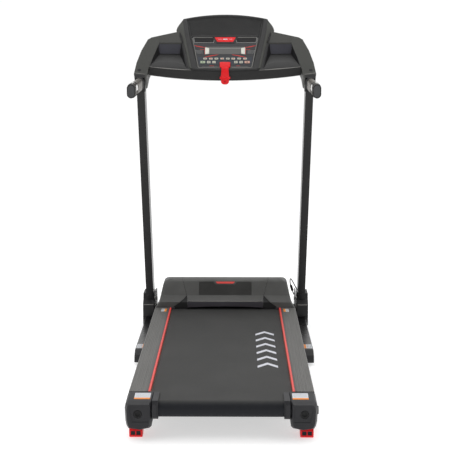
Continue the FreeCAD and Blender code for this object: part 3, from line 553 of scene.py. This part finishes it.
def curve_through(points, steps=5):
    """A smooth line through points, with the same ends."""
    points = [Vector(point) for point in points]
    padded = [points[0] * 2 - points[1], *points, points[-1] * 2 - points[-2]]
    result = []
    for a, b, c, d in zip(padded, padded[1:], padded[2:], padded[3:]):
        for step in range(steps):
            t = step / steps
            result.append(tuple(0.5 * (2 * b + (c - a) * t + (2 * a - 5 * b + 4 * c - d) * t * t
                                       + (3 * b - a - 3 * c + d) * t ** 3)))
    result.append(tuple(points[-1]))
    return result


# ---- CAD pieces

BEVELS = {
    "console_face": 2.2, "console_back": 5.0, "console_arm": 4.0, "rear_cap": 2.6, "upright_cover": 2.5,
    "upright": 2.5, "floor_tube": 2.5, "cross_tubes": 1.0, "floor_tube_caps": 2.0, "foot_pads": 1.5,
    "pivot_brackets": 0.6, "side_rail": 0.25, "rail_trims": 0.5, "incline_feet": 2.0, "incline_knob": 1.0,
    "display_panel": 0.25, "lcd_module": 0.3, "handlebar_caps": 2.0, "hood_grille": 0.25,
    "speaker_grilles": 0.3, "cable_connector": 0.5, "power_inlet": 0.5, "power_rocker": 0.6,
    "motor_tray": 0.8, "running_board": 1.0, "deck_frame": 1.2, "motor_controller": 0.4,
}
OTHER_BEVEL = 0.4
OTHER_FINISH = {
    "console_arm": "arm_body", "rail_trims": "trim_red", "rear_cap": "cap_plastic",
    "console_face": "console_wing", "hood_grille": "grille_plastic",
}


def finish_cad(name, slot):
    """Weld a CAD node's faces, round its edges and give it its finish."""
    stem = name.removesuffix("_left").removesuffix("_right")
    item = nodes[name]
    item.data.materials.clear()
    item.data.materials.append(finishes[OTHER_FINISH.get(stem, slot)])
    weld = item.modifiers.new("weld", "WELD")
    weld.merge_threshold = 0.00002
    flat = item.modifiers.new("flat", "DECIMATE")
    flat.decimate_type = "DISSOLVE"
    flat.angle_limit = math.radians(0.6)
    for polygon in item.data.polygons:
        polygon.use_smooth = True
    round_edges(item, BEVELS.get(stem, OTHER_BEVEL), CAD_EDGE_ANGLE)


# ---- console

FACE_TILT, FACE_Y, FACE_Z = math.radians(53), 345, 1052


def on_face(across, up, out):
    """A point of the sloping console face: across, up the slope and out of it."""
    return (across, FACE_Y + up * math.cos(FACE_TILT) - out * math.sin(FACE_TILT),
            FACE_Z + up * math.sin(FACE_TILT) + out * math.cos(FACE_TILT))


BODY_SIDE = [(100, 12), (142, 242)]
ARCH_RISE = 20


def half_width(up):
    """Half the width of the sunk middle field at a height up the face."""
    return between([(corner[1], corner[0]) for corner in BODY_SIDE], up)


FLANK = [(12, 134, -3), (27, 141.5, -3), (90, 152, -3), (130, 162.5, -3), (160, 174, -4), (175, 181, -8),
         (184, 184, -16), (196, 189, -18), (209, 186, -19), (223, 179.5, -19), (236, 168, -19)]
SLOT_LINE = [(163, 134), (167, 150), (171.5, 168), (175, 181)]


def make_bezel():
    """The raised frame round the middle of the console, and the flanks that fall from it."""
    crown = 247.5 + ARCH_RISE
    outer = [(0, -0.6, 900), (128, 4, 12), (161, 183, 60), (168, 247.5, 12), (0, crown, 900),
             (-168, 247.5, 12), (-161, 183, 60), (-128, 4, 12)]
    inner = [(0, 11.5, 900), (105, 12.5, 9), (136, 160, 60), (149, 243, 6), (0, 243 + ARCH_RISE, 900),
             (-149, 243, 6), (-136, 160, 60), (-105, 12.5, 9)]
    loops = []
    for corners, amount, out in ((outer, 0, -1.5), (outer, 0.4, 2), (outer, 4, 6), (inner, -2.5, 6),
                                 (inner, 0, 4.8), (inner, 3, 1.2), (inner, 3.4, -3)):
        loops.append([on_face(x, up, out) for x, up in rounded(inset(corners, amount), 8)])
    add_piece("console_bezel", [skin(loops, capped=False)], "console_plastic", "base", 0.8)

    flanks = []
    for side in (1, -1):
        rows = []
        for up, outside, back in FLANK:
            ridge = between([(15, 127), (183, 160), (236, 166)], up)
            section = [(ridge - 6, 4.8), (ridge, 4.9), ((ridge + outside) / 2 + 1, 2.6), (outside, -4),
                       (outside - 1, back), (ridge - 6, back)]
            rows.append([on_face(side * x, up, out) for x, out in section])
        flanks.append(skin(rows))
    add_piece("console_flanks", flanks, "arm_plastic", "base", 1.0)
    # The vent slots are near-black strips laid in as painted shade for the openings.
    slots = [strokes([(side * x, up) for x, up in SLOT_LINE], 6.5) for side in (1, -1)]
    vents = [slab(slot, -2, 3.4, on_face) for slot in slots]
    add_piece("flank_slots", vents, "tray_side", "base", 0.4)


def make_ribbed_field():
    """The ribbed plate above the display, under the arched top edge."""
    low, edge, high = 168.0, 242.0, 242.0 + ARCH_RISE
    arch_radius = half_width(edge) ** 2 / (2 * ARCH_RISE)
    pitch, depth = 5.2, 1.3
    count = int((high - low) / pitch)
    rows = []
    for step in range(count):
        for share, rise in ((0.0, 0), (0.22, 0), (0.36, 1), (0.86, 1)):
            up = low + (step + share) * pitch
            half = half_width(min(up, edge)) - 0.5
            if up > edge:
                half = min(half, math.sqrt(max(2 * arch_radius * (high - up), 1)))
            rows.append([on_face(half * k / 4, up, 0.4 + rise * depth) for k in range(-4, 5)])
    add_piece("console_ribs", [sheet(rows)], "console_plastic", "base", 0.3, 1.2)
    half = half_width(165) - 1
    step_plate = slab(rounded(taper(161.5, half, 168.5, half + 1), 1.5), -3, 2.2, on_face)
    add_piece("console_step", [step_plate], "console_plastic", "base", 0.8)


def strokes(points, width):
    """A thin outline along a line of points, tapering to both ends when it has more than three."""
    outline_up, outline_down = [], []
    count = len(points) - 1
    for index, point in enumerate(points):
        ahead = Vector(points[min(index + 1, count)]) - Vector(points[max(index - 1, 0)])
        side = Vector((-ahead.y, ahead.x)).normalized() * width / 2
        side *= (0.35 + 0.65 * math.sin(math.pi * index / count)) if count > 2 else 1
        outline_up.append(tuple(Vector(point) + side))
        outline_down.append(tuple(Vector(point) - side))
    return outline_down + outline_up[::-1]


GRILLE = [(46, 136), (117, 136), (120, 160.5), (39, 160.5)]
UPPER_KEYS = (-76, -54, -33, -11, 10.5, 31, 53.5, 75.7)
LOWER_KEYS = {"start_key": -84.5, "mode_key": -62, "speed_down_key": -42, "speed_up_key": 41,
              "program_key": 61, "stop_key": 84}
LOWER_ROW = 42.6
KEY_TOP = 1.25
FILM_TOP = -0.6


def key_mark(name, middle):
    """A plain sign on one of the lower keys: arrow, square, plus, minus or bars."""
    x, y = middle, LOWER_ROW
    if name == "start_key":
        return [[(x - 2.4, y - 2.4), (x + 2.6, y), (x - 2.4, y + 2.4)]]
    if name == "stop_key":
        return [rect(x - 2.2, y - 2.2, x + 2.2, y + 2.2)]
    flat = rect(x - 3, y - 0.6, x + 3, y + 0.6)
    if name == "speed_down_key":
        return [flat]
    if name == "speed_up_key":
        return [flat, rect(x - 0.6, y + 0.6, x + 0.6, y + 3), rect(x - 0.6, y - 3, x + 0.6, y - 0.6)]
    return [[(a, b + shift) for a, b in flat] for shift in (-1.8, 1.8)]


def make_display_details():
    """The printing, keys, screen ends and badge on the display panel, with painted highlights round the panel
    and its grilles.
    """
    # The panel's rounded border is a pale line laid on as a painted highlight round its edge.
    border_out = rounded(taper(17, 102.4, 160, 127), 7)
    border_in = rounded(taper(19.2, 100.2, 158, 124.8), 6)
    loops = stack(on_face, (border_out, FILM_TOP - 0.1), (border_out, FILM_TOP + 0.5),
                  (border_in, FILM_TOP + 0.5), (border_in, FILM_TOP - 0.1))
    add_piece("panel_border", [skin(loops, ring=True)], "edge_light", "base", 0.15)

    def prints(name, outlines, finish, low=FILM_TOP - 0.05, high=FILM_TOP + 0.12, bevel=0.0):
        """Flat printed shapes on the panel as one piece."""
        parts = [slab(outline, low, high, on_face) for outline in outlines]
        add_piece(name, parts, finish, "base", bevel)

    prints("keypad_field", [rounded(taper(33, 98, 67, 103), 3)], "keypad_blue",
           high=FILM_TOP + 0.06)
    sweep_high = [(-118.5, 121.5), (-105, 118), (-92, 114.8), (-79, 112.5)]
    sweep_low = [(-80, 66), (-62, 70.5), (-44, 75), (-26, 78.4)]
    reds = both(strokes(sweep_high, 3.2)) + both(strokes(sweep_low, 3.0))
    reds += both(strokes([(-77.4, 113), (-77.4, 79.5)], 1.6))
    reds += [strokes([(-77, 114.2), (77, 114.2)], 1.0)]
    reds += both(strokes([(-96, 102.5), (-80, 102)], 1.2))
    reds += [strokes([(start, 26.4), (start + 16, 26)], 1.2) for start in (-58, 42)]
    prints("panel_red_lines", reds, "print_red")
    greys = []
    for row in range(4):
        greys += both(strokes([(-115 + 2.5 * row, 98 - 4.4 * row), (-86, 98 - 4.4 * row)], 0.9))
    greys += [strokes([(-88, 21.5), (88, 21.5)], 0.9)]
    prints("panel_fine_lines", greys, "print_grey")
    prints("screen_ends", both(rounded([(-76.4, 79.5), (-61, 82), (-61, 108.5), (-76.4, 112)], 1.5)),
           "lcd_silver", high=0.9, bevel=0.4)
    prints("screen_window", [rounded(rect(-60.5, 82, 60.5, 109), 1.5)], "screen", high=-0.15, bevel=0.1)
    prints("screen_shadow", [strokes([(-60, 107.4), (60, 107.4)], 2.2)], "print_grey", low=-0.2, high=-0.08)

    caps = [rounded(rect(x - 7, 55, x + 7, 63), 2) for x in UPPER_KEYS]
    prints("upper_key_caps", caps, "key_pale", high=0.75, bevel=0.25)
    marks = [rounded(rect(x - 2.6, 57.4, x + 2.6, 60.6), 1) for x in UPPER_KEYS[1::2]]
    prints("upper_key_red_marks", marks, "print_red", low=0.7, high=0.85)
    marks = [strokes([(x - 3, 59), (x + 3, 59)], 1.6) for x in UPPER_KEYS[::2]]
    prints("upper_key_dark_marks", marks, "print_dark", low=0.7, high=0.85)
    for name, middle in LOWER_KEYS.items():
        parts = [slab(shape, KEY_TOP - 0.1, KEY_TOP + 0.05, on_face) for shape in key_mark(name, middle)]
        add_piece(f"{name}_sign", parts, "print_dark", name)

    badge = taper(138, 30, 160, 41)
    prints("badge_tray", [rounded(inset(badge, -7), 2)], "console_plastic", high=0.3, bevel=0.3)
    prints("console_badge", [rounded(badge, 1.5)], "red_plastic", low=-0.5, high=1.5, bevel=0.5)
    # The pale rims round the speaker grilles are painted highlights.
    for word, grille in zip(("right", "left"), both(GRILLE)):
        wide, narrow = inset(grille, -1.8), inset(grille, -0.1)
        loops = stack(on_face, (wide, -0.7), (wide, 0.1), (narrow, 0.1), (narrow, -0.7))
        add_piece(f"grille_rim_{word}", [skin(loops, ring=True)], "print_grey", "base")
    dashes = [rounded(rect(-9, 148, 9, 152), 1.9)]
    dashes += both(strokes([(-27, 150), (-14, 150)], 1.1))
    prints("badge_dashes", dashes, "label_white", low=1.4, high=1.62)


TRAY_MOUTH = [(146, 14), (284, 24), (260, 136), (168, 136)]
TRAY_BED = [(173, 96), (254, 98), (252, 102), (174, 101)]
TRAY_DEPTH = 27


def make_tray_linings():
    """Linings of the two side trays: painted light on the back wall, painted shade on the sides, and a dull
    floor.
    """
    # Painted light and shade: the back wall is lined lighter and bluish as if lit, and the side walls are
    # near black as shade.
    wall_finishes = ("console_plastic", "tray_side", "tray_back", "tray_side")
    for word, side in (("right", 1), ("left", -1)):
        middle = Vector(on_face(side * 212, 84, -6))
        for index, finish in enumerate(wall_finishes):
            other = (index + 1) % 4
            ends = [(*TRAY_MOUTH[index], -0.6), (*TRAY_MOUTH[other], -0.6),
                    (*TRAY_BED[other], 1.2 - TRAY_DEPTH), (*TRAY_BED[index], 1.2 - TRAY_DEPTH)]
            corners = [Vector(on_face(side * x, up, out)) for x, up, out in ends]
            normal = (corners[1] - corners[0]).cross(corners[2] - corners[0]).normalized()
            if normal.dot(middle - corners[0]) < 0:
                normal.negate()
            lift = normal * 0.9
            loops = [[tuple(corner + lift * share) for corner in corners] for share in (0.5, 1)]
            add_piece(f"tray_{word}_lining_{index}", [skin(loops)], finish, "base")


def make_tray_chamfers():
    """The chamfers between the flanks of the console and its trays, darkened as painted shade."""
    outlines = both([(141, 18), (146.6, 14.4), (168.6, 135.6), (163, 133)])
    chamfers = [slab(outline, -0.4, 0.35, on_face) for outline in outlines]
    add_piece("tray_chamfers", chamfers, "tray_side", "base")


LIP_BOW = 2.35e-4


def lip_up(across):
    """The height up the face of the bowed lip's edge."""
    return LIP_BOW * across * across


def make_lip_edge():
    """A painted highlight along the edge where the console's face turns down into its lip."""
    edges = []
    for side in (1, -1):
        line = [(side * x, lip_up(x) + 1.8) for x in range(130, 288, 12)]
        edges.append(slab(strokes(line, 3.4), -0.5, 0.3, on_face))
    add_piece("lip_highlights", edges, "edge_light", "base")


def make_arm_details():
    """Painted shade in the screw wells and painted highlights along the step lines on the console arms."""
    wells, steps = [], []
    for side in (1, -1):
        ring = [(side * 324 + 7 * math.cos(a * math.pi / 12), 6 + 5.6 * math.sin(a * math.pi / 12))
                for a in range(24)]
        wells.append(slab(ring, -1, 0.45, on_face))
        slot_line = [(side * 301, -13.5), (side * 320, -11), (side * 339, -8)]
        steps.append(slab(strokes(slot_line, 2.0), -1, 0.4, on_face))
    add_piece("arm_screw_wells", wells, "print_dark", "base", 0.15)
    add_piece("arm_step_lines", steps, "edge_light", "base")


COVER_REAR, COVER_EDGE, COVER_IN, COVER_OUT = 562, 103, 294, 338


def make_cover_edges():
    """A painted highlight on the upper edge and a painted shadow along the foot of each upright cover."""
    lit, dark = [], []
    for side in (1, -1):
        left, right = sorted((side * (COVER_IN + 1), side * (COVER_OUT - 2)))
        for parts, low, high in ((lit, COVER_EDGE - 3, COVER_EDGE + 0.5), (dark, 50.4, 54)):
            outline = rounded(rect(left, low, right, high), 1.2, 3)
            parts.append(skin([[(x, COVER_REAR + out, z) for x, z in outline] for out in (-0.5, 1)]))
    add_piece("cover_lit_edges", lit, "edge_light", "base", 0.3)
    add_piece("cover_foot_shadows", dark, "print_dark", "base")


HOLE_UP = -14


def make_safety_key():
    """The red key: a block on the face, a strap that folds over the lip and a tab with a hole."""
    block_line = rect(-20, 13.4, 20, 38.5)
    loops = [[on_face(a, b, out) for a, b in rounded(inset(block_line, amount), 2.5)]
             for amount, out in ((0, -2.4), (0, 6.5), (0.8, 8.2), (2.6, 9), (5, 8.6))]
    strap_line = [(20, 9.2), (13, 8.6), (6, 8.2), (-3, 5.4), (-12, 0), (-20, -6.4), (-24, -10.5)]
    strap_line = curve_through(strap_line, 4)
    widths = [(0, 14.2), (0.45, 13.4), (0.75, 15.4), (1, 18)]
    rows = []
    last = len(strap_line) - 1
    for index, (up, out) in enumerate(strap_line):
        half = between(widths, index / last)
        ahead = Vector(strap_line[min(index + 1, last)]) - Vector(strap_line[max(index - 1, 0)])
        lift = Vector((ahead.y, -ahead.x)).normalized() * -1.3
        section = [(-half, 1), (-half + 1.2, 1.5), (half - 1.2, 1.5), (half, 1), (half, -1),
                   (half - 1.2, -1.4), (-half + 1.2, -1.4), (-half, -1)]
        rows.append([on_face(x, up + lift.x * k, out + lift.y * k) for x, k in section])
    fold = circle(-23, -9.4, 4.4, 12)
    fold_rows = [[on_face(x, up, out) for up, out in fold] for x in (-19.5, -18.5, 18.5, 19.5)]
    top_y, top_z = on_face(0, -24, -10)[1:]
    tab = rounded([(-15.5, -24, 15), (15.5, -24, 15), (15.5, 2, 1), (-15.5, 2, 1)], 2, 7)
    hole = circle(0, HOLE_UP, 2.2, len(tab), -2.36)

    def hang(across, up, out):
        """A point of the tab, which hangs straight down from the fold."""
        return (across, top_y - out, top_z + up)

    rings = stack(hang, (tab, -1.3), (tab, 1.3), (hole, 1.3), (hole, -1.3))
    parts = [skin(loops), skin(rows), skin(fold_rows), skin(rings, ring=True)]
    # The hole in the tab is filled with a dark disc as painted shade.
    eyelet = slab(circle(0, HOLE_UP, 2.3, 20), -0.9, 0.9, hang)
    add_piece("safety_key_hole_shade", [eyelet], "print_dark", "safety_key")
    key = add_piece("safety_key_strap", parts, "red_plastic", "safety_key", 0.4)
    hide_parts("safety_key")


# ---- handlebars

GRIP_X, GRIP_REAR, GRIP_LOW = 322.5, -14, 990
GRIP_SLOPE = math.atan2(15, 386)
GRIP_RADIUS, GRIP_FLAT = 14, 10


def grip_loop(along, grow, side):
    """The handlebar's oval at a distance along it, grown by an amount."""
    loop = []
    for x, z in oval(GRIP_RADIUS + grow, GRIP_FLAT):
        loop.append((side * (GRIP_X + x), GRIP_REAR + along * math.cos(GRIP_SLOPE) - z * math.sin(GRIP_SLOPE),
                     GRIP_LOW + along * math.sin(GRIP_SLOPE) + z * math.cos(GRIP_SLOPE)))
    return loop


def make_handlebar_details():
    """Rings at the pulse plates, collars at the arms and the sunk faces of the end caps."""
    rings, faces_parts, collars = [], [], []
    for side in (1, -1):
        for start in (21, 97):
            rings.append(skin([grip_loop(start + a, grow, side)
                               for a, grow in ((0, 0.2), (0.6, 2.0), (3.4, 2.0), (4, 0.2))], capped=False))
        faces_parts.append(skin([grip_loop(a, grow, side) for a, grow in
                                 ((-8.8, -3.2), (-9.5, -3.4), (-9.7, -4.4), (-9.7, -9))]))
        collars.append(skin([grip_loop(a, grow, side) for a, grow in
                             ((322, 0.2), (322.5, 2.6), (325, 3.4), (352, 3.4))], capped=False))
    add_piece("pulse_rings", rings, "rubber", "base")
    add_piece("grip_cap_faces", faces_parts, "cap_face", "base", 0.3)
    add_piece("grip_collars", collars, "black_plastic", "base")


# ---- hood

HOOD_LOW = 118.4
CREASE_Y, CREASE_Z = 413.9, 148.8
SLOPE_FOOT, SLOPE_HEAD = (438, 168), (466, 219)
HOOD_BAND = [(411, 133.4), (412, 146), (417, 149.5), (428, 158)]
HOOD_TOP = [(466, 219), (476, 225), (494, 228), (520, 226), (560, 217.5), (610, 203), (660, 181),
            (700, 154), (726, 128), (732.6, 118.6)]
HOOD_FRONT = [(118.4, 279), (124, 275.5), (134, 267.5), (147, 261), (168, 256.5), (190, 252), (205, 248.4),
              (214, 244.5), (221, 239), (226, 232), (229, 224)]
HOOD_PLAN = [(404, 280), (425, 279), (480, 266), (560, 262), (680, 260), (740, 240)]
SEAM_LOW, SEAM_BEND, SEAM_SPREAD, FACET_TOP, FACET_SPREAD = 151, 162, 0.3, 167, 1.33
GRILLE_HALF, GRILLE_START, GRILLE_END = 105.4, 1.2, 57


def on_slope(across, along, out):
    """A point on the hood's sloping rear face: across, up the slope and out of it."""
    foot, head = Vector(SLOPE_FOOT), Vector(SLOPE_HEAD)
    way = (head - foot).normalized()
    point = foot + way * along + Vector((-way.y, way.x)) * out
    return (across, point.x, point.y)


def slope_station(along):
    """The side-view point at a distance up the slope."""
    return on_slope(0, along, 0)[1:]


def hood_half(y, z):
    """Half the hood's width at a side-view point."""
    return min(between(HOOD_FRONT, z), between(HOOD_PLAN, y))


def seam_at(z):
    """Where the middle moulding meets the side covers."""
    return SEAM_LOW + max(z - SEAM_BEND, 0) * SEAM_SPREAD


def make_hood():
    """The middle moulding with its grille opening, the two shoulders and the dark facets, with painted shade
    on the facets, under the seams, on the lower band and the flanges, and a painted highlight along the
    crease.
    """
    slope = [slope_station(s) for s in (0, GRILLE_START, GRILLE_END, math.dist(SLOPE_FOOT, SLOPE_HEAD))]
    crown = curve_through(HOOD_TOP, 5)[1:]
    stations = HOOD_BAND + slope + crown
    opening = len(HOOD_BAND) + 1
    rows = []
    for y, z in stations:
        edge = seam_at(z) - 0.5
        span = [GRILLE_HALF + (edge - GRILLE_HALF) * k / 4 for k in range(5)]
        columns = [-x for x in reversed(span)] + [-52, 0, 52] + span
        rows.append([(x, y, z) for x in columns])
    verts, faces = sheet(rows)
    width = len(rows[0])
    inside = range(4, width - 5)
    faces = [face for face in faces
             if not (face[0] // width == opening and face[0] % width in inside)]
    middle = add_piece("hood_middle", [(verts, faces)], "hood_plastic", "deck", 1.2, wall=2.4)
    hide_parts("motor_hood")

    shoulders, facets = [], []
    for side in (1, -1):
        rows = []
        for y, z in [(410.4, 118.8), (410.8, 127)] + stations:
            edge = seam_at(z) + 0.5
            if z < FACET_TOP and y < 480:
                edge += (FACET_TOP - z) * FACET_SPREAD
            half = hood_half(y, z)
            drop = min(11, (z - HOOD_LOW) * 0.6)
            below = hood_half(y, z - drop)
            row = [(edge + (half - drop - edge) * k / 5, z) for k in range(6)]
            for k in range(1, 6):
                t = k / 5
                row.append((half - (1 - t) ** 2 * drop + t * t * (below - half), z - t * t * drop))
            for k in range(1, 9):
                low = z - drop - (z - drop - HOOD_LOW) * k / 8
                row.append((hood_half(y, low), low))
            rows.append([(side * x, y, height) for x, height in row])
        shoulders.append(sheet(rows))
        # The facets below the shoulders and the strips under the seams are near black as painted shade.
        rows = []
        for y, z in [(413.5, 119), (414, 133)] + [(y + 3, z - 1.5) for y, z in HOOD_BAND[1:]] + [(440, 167)]:
            far = SEAM_LOW + (FACET_TOP - z) * FACET_SPREAD + 4
            rows.append([(side * (SEAM_LOW - 3 + (far - SEAM_LOW + 3) * k / 3), y, z) for k in range(4)])
        facets.append(sheet(rows))
        under = [[(side * (seam_at(z) + x), y + 1, z - 3.2) for x in (-5, 0, 5)] for y, z in stations[4:]]
        facets.append(sheet(under))
    shell = add_piece("hood_shoulders", shoulders, "hood_plastic", "deck",
                      1.0, wall=2.4)
    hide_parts("hood_side_covers")
    # The lower band is the hood's plastic darkened and made bluish as painted shade.
    band = []
    for y, z, sag in ((409.9, 129.5, 4.5), (410.2, 134.4, 0), (410.6, 145, 0), (411.8, 147.5, 0)):
        band.append([(x, y, z - sag * (x / 149) ** 2) for x in (-149, -100, -50, 0, 50, 100, 149)])
    add_piece("hood_lower_band", [sheet(band)], "hood_band", "deck",
              0.3, wall=1.0)
    # The crease is a pale strip laid on as a painted highlight.
    crease = [(-146, 153.2), (-138, 149.6), (-126, CREASE_Z), (0, CREASE_Z), (126, CREASE_Z), (138, 149.6),
              (146, 153.2)]
    outline = strokes(crease, 2.2)
    crease_loops = [[(x, CREASE_Y + (z - CREASE_Z) * 0.55 + out, z) for x, z in outline] for out in (0, 1.4)]
    add_piece("hood_crease", [skin(crease_loops)], "edge_light", "deck")
    # The flanges are darkened and made bluish as painted shade.
    flange = []
    for side in (1, -1):
        rows = [[(side * x, y, z) for y, z in ((408.8, 118.8), (408.6, 122.5), (410.2, 126))]
                for x in (200, 222, 244, 262, 274)]
        flange.append(sheet(rows))
    add_piece("hood_flanges", flange, "hood_band", "deck", 0.3, wall=1.0)
    add_piece("hood_dark_facets", facets, "tray_side", "deck", 0.4, wall=1.5)

    notch = slab(rounded(taper(44.5, 38, 57.4, 48), 1.5), -2.0, 0.5, on_slope)
    add_piece("hood_notch", [notch], "hood_plastic", "deck", 0.4)
    badge = slab(rounded(taper(48.6, 31, 56.6, 39.5), 1), 0.3, 1.3, on_slope)
    add_piece("hood_badge", [badge], "trim_red", "deck", 0.4)
    wide, narrow = rounded(rect(-108, -0.8, 108, 59), 3), rounded(rect(-104.6, 1.8, 104.6, 56.4), 2)
    loops = stack(on_slope, (wide, -0.3), (wide, 0.35), (narrow, 0.35), (narrow, -2.0))
    add_piece("grille_frame", [skin(loops, capped=False)], "hood_plastic", "deck", 0.2)


# ---- deck details

BELT_TOP = 118.2


def on_belt(x, y, up):
    """A point above the running belt."""
    return (x, y, BELT_TOP + up)


def label(name, corners, split, place, body):
    """A sticker: an orange band, then a pale field with grey bars from the split upwards."""
    left, low, right, high = corners
    fields = (("band", "label_orange", low, split), ("pale", "label_white", split, high))
    for part, finish, bottom, top in fields:
        outline = rounded(rect(left, bottom, right, top), 0.8, 2)
        add_piece(f"{name}_{part}", [slab(outline, 0, 0.25, place)], finish, body)
    bars = []
    for share in (0.25, 0.5, 0.75):
        level = split + (high - split) * share
        bars.append(slab(strokes([(left + 3, level), (right - 3, level)], 1.3), 0.2, 0.34, place))
    add_piece(f"{name}_bars", bars, "print_grey", body)


RAIL_TOP, TUBE_TOP = 125, 50
STICKER_GAP = 0.05


def make_labels():
    """Blank stickers where the machine carries its notices, with their bands on the inner side or rear."""
    for side, word in ((1, "right"), (-1, "left")):
        inner, outer = sorted((side * 209, side * 256))
        label(f"cap_label_{word}", (inner, -774, outer, -722), -762, cap_top, "deck")

        def on_rail(along, across, up, side=side):
            """A point on top of the rail, for a sticker laid across it."""
            return (side * across, along, RAIL_TOP + STICKER_GAP + up)

        def on_tube(along, across, up, side=side):
            """A point on top of the floor tube, for a sticker laid across it."""
            return (side * across, along, TUBE_TOP + STICKER_GAP + up)

        label(f"rail_label_{word}", (338, 229, 385, 249), 237, on_rail, "deck")
        label(f"tube_label_{word}", (70, 291, 126, 323), 302, on_tube, "base")


def cap_top(x, y, up):
    """A point on the gently falling top of a rear cap."""
    fall = between([(-788, 120), (-708, 124)], y)
    return (x, y, fall + up)


PLUG_ACROSS, PLUG_UP = 243, 84
PLUG_PROFILE = [(12.2, -796.5), (12.2, -802), (11.2, -803.4), (8.4, -804), (7.4, -803.2), (6.8, -799)]


def make_cap_details():
    """Black plugs in the rear caps and painted shade in the feet's hollows."""
    plugs = []
    for side in (1, -1):
        loops = []
        for radius, y in PLUG_PROFILE:
            loops.append([(x, y, z) for x, z in circle(side * PLUG_ACROSS, PLUG_UP, radius, 32)])
        plugs.append(skin(loops))
    add_piece("roller_access_plugs", plugs, "tray_side", "deck")
    hollow_shades = []
    for side in (1, -1):
        for start in (238, 254):
            low, high = sorted((side * (start + 0.3), side * (start + 12.7)))
            outline = rounded(rect(low, 8.3, high, 20.7), 1.5, 3)
            hollow_shades.append(slab(outline, 763.2, 764.6, lambda a, b, out: (a, -out, b)))
    add_piece("foot_hollows", hollow_shades, "print_dark", "incline_feet")


RAIL_SIDE = 277.2


def make_rail_marks():
    """Red leaf-shaped flashes on the outer sides of the rails."""
    leaves = []
    for side in (1, -1):
        for rear, front in ((118, 290), (-365, -215)):
            rows = []
            for step in range(17):
                share = step / 16
                y = rear + (front - rear) * share
                swell = math.sin(math.pi * min(max(share, 0.02), 0.98))
                middle, half, rise = 101 - 30 * share, 9 * swell, 0.1 + 5.5 * swell ** 0.7
                rows.append([(side * (RAIL_SIDE + rise * bulge), y, middle + half * lift)
                             for lift, bulge in ((-1, 0), (-0.6, 0.8), (0, 1), (0.6, 0.8), (1, 0))])
            leaves.append(skin(rows))
    add_piece("rail_flashes", leaves, "trim_red", "deck")


def make_belt_print():
    """Plain chevrons printed on the right of the belt, pointing the way the runner faces."""
    chevrons = []
    for step in range(6):
        tip = 52 - step * 84
        chevrons.append([(113, tip - 62), (146, tip - 24), (179, tip - 62), (179, tip - 38), (146, tip),
                         (113, tip - 38)])
    parts = [slab(shape, 0.02, 0.14, on_belt) for shape in chevrons]
    add_piece("belt_chevrons", parts, "belt_print", "deck")


# ---- stage

FLOOR_FLAT, FLOOR_CURVE, FLOOR_DROP, FLOOR_SIDES = 6.5, 2.5, 0.0004, 96
LAMP_TARGET = Vector((0, -0.1, 0.6))


def make_stage():
    """A round pale floor that curves up at its rim, and soft studio lights."""
    mesh = bpy.data.meshes.new("studio_floor")
    grid = bmesh.new()
    profile = [(0.02, 0), (FLOOR_FLAT, 0)]
    profile += [(FLOOR_FLAT + FLOOR_CURVE * math.sin(math.radians(9 * k)),
                 FLOOR_CURVE - FLOOR_CURVE * math.cos(math.radians(9 * k))) for k in range(1, 6)]
    rows = []
    for radius, z in profile:
        rows.append([grid.verts.new((x, y, z - FLOOR_DROP)) for x, y in circle(0, 0, radius, FLOOR_SIDES)])
    for low, high in zip(rows, rows[1:]):
        for k in range(FLOOR_SIDES):
            following = (k + 1) % FLOOR_SIDES
            face = grid.faces.new((low[k], low[following], high[following], high[k]))
            face.smooth = True
    grid.faces.new(rows[0])
    grid.to_mesh(mesh)
    grid.free()
    floor = add_object("studio_floor", mesh)
    finish = Finish("studio_floor", (0.7, 0.7, 0.7), 0.8, specular=0.05)
    finish.tint(finish.remap(finish.noise(0.4, 2), 0.4, 0.6), (0.71, 0.71, 0.71))
    finish.shader.inputs["Emission Color"].default_value = (1, 1, 1, 1)
    finish.shader.inputs["Emission Strength"].default_value = 0.55
    mesh.materials.append(finish.done())

    world = bpy.data.worlds.new("studio")
    world.use_nodes = True
    tree = world.node_tree
    way = tree.nodes.new("ShaderNodeSeparateXYZ")
    tree.links.new(tree.nodes.new("ShaderNodeTexCoord").outputs["Generated"], way.inputs[0])
    ramp = tree.nodes.new("ShaderNodeMapRange")
    for key, number in (("From Min", -0.5), ("From Max", 0.15), ("To Min", 0.42), ("To Max", 1.02)):
        ramp.inputs[key].default_value = number
    tree.links.new(way.outputs["Y"], ramp.inputs["Value"])
    tree.links.new(ramp.outputs["Result"], tree.nodes["Background"].inputs["Strength"])
    tree.nodes["Background"].inputs["Color"].default_value = (1, 1, 1, 1)
    bpy.context.scene.world = world
    lamps = [("key", (-2.2, -2.2, 3.6), 2.0, 26), ("fill", (2.6, -1.8, 2.8), 2.2, 14),
             ("top", (0, 0.6, 3.8), 2.4, 34)]
    for name, place, side, power in lamps:
        data = bpy.data.lights.new(name, "AREA")
        data.size = side
        data.energy = power
        lamp = add_object(name, data)
        lamp.location = place
        lamp.rotation_euler = (LAMP_TARGET - Vector(place)).to_track_quat("-Z", "Y").to_euler()
    bpy.context.scene.view_settings.view_transform = "Standard"


# ---- everything

make_camera()
finishes = make_finishes()
make_cable(finishes["cable_black"])
make_stage()
slot_of = {part["node"]: part["material_slot"] for part in frame["record"]["subparts"]}
for name in nodes:
    finish_cad(name, slot_of[name])
make_bezel()
make_ribbed_field()
make_display_details()
make_tray_linings()
make_tray_chamfers()
make_lip_edge()
make_arm_details()
make_cover_edges()
make_safety_key()
make_handlebar_details()
make_hood()
make_labels()
make_cap_details()
make_rail_marks()
make_belt_print()
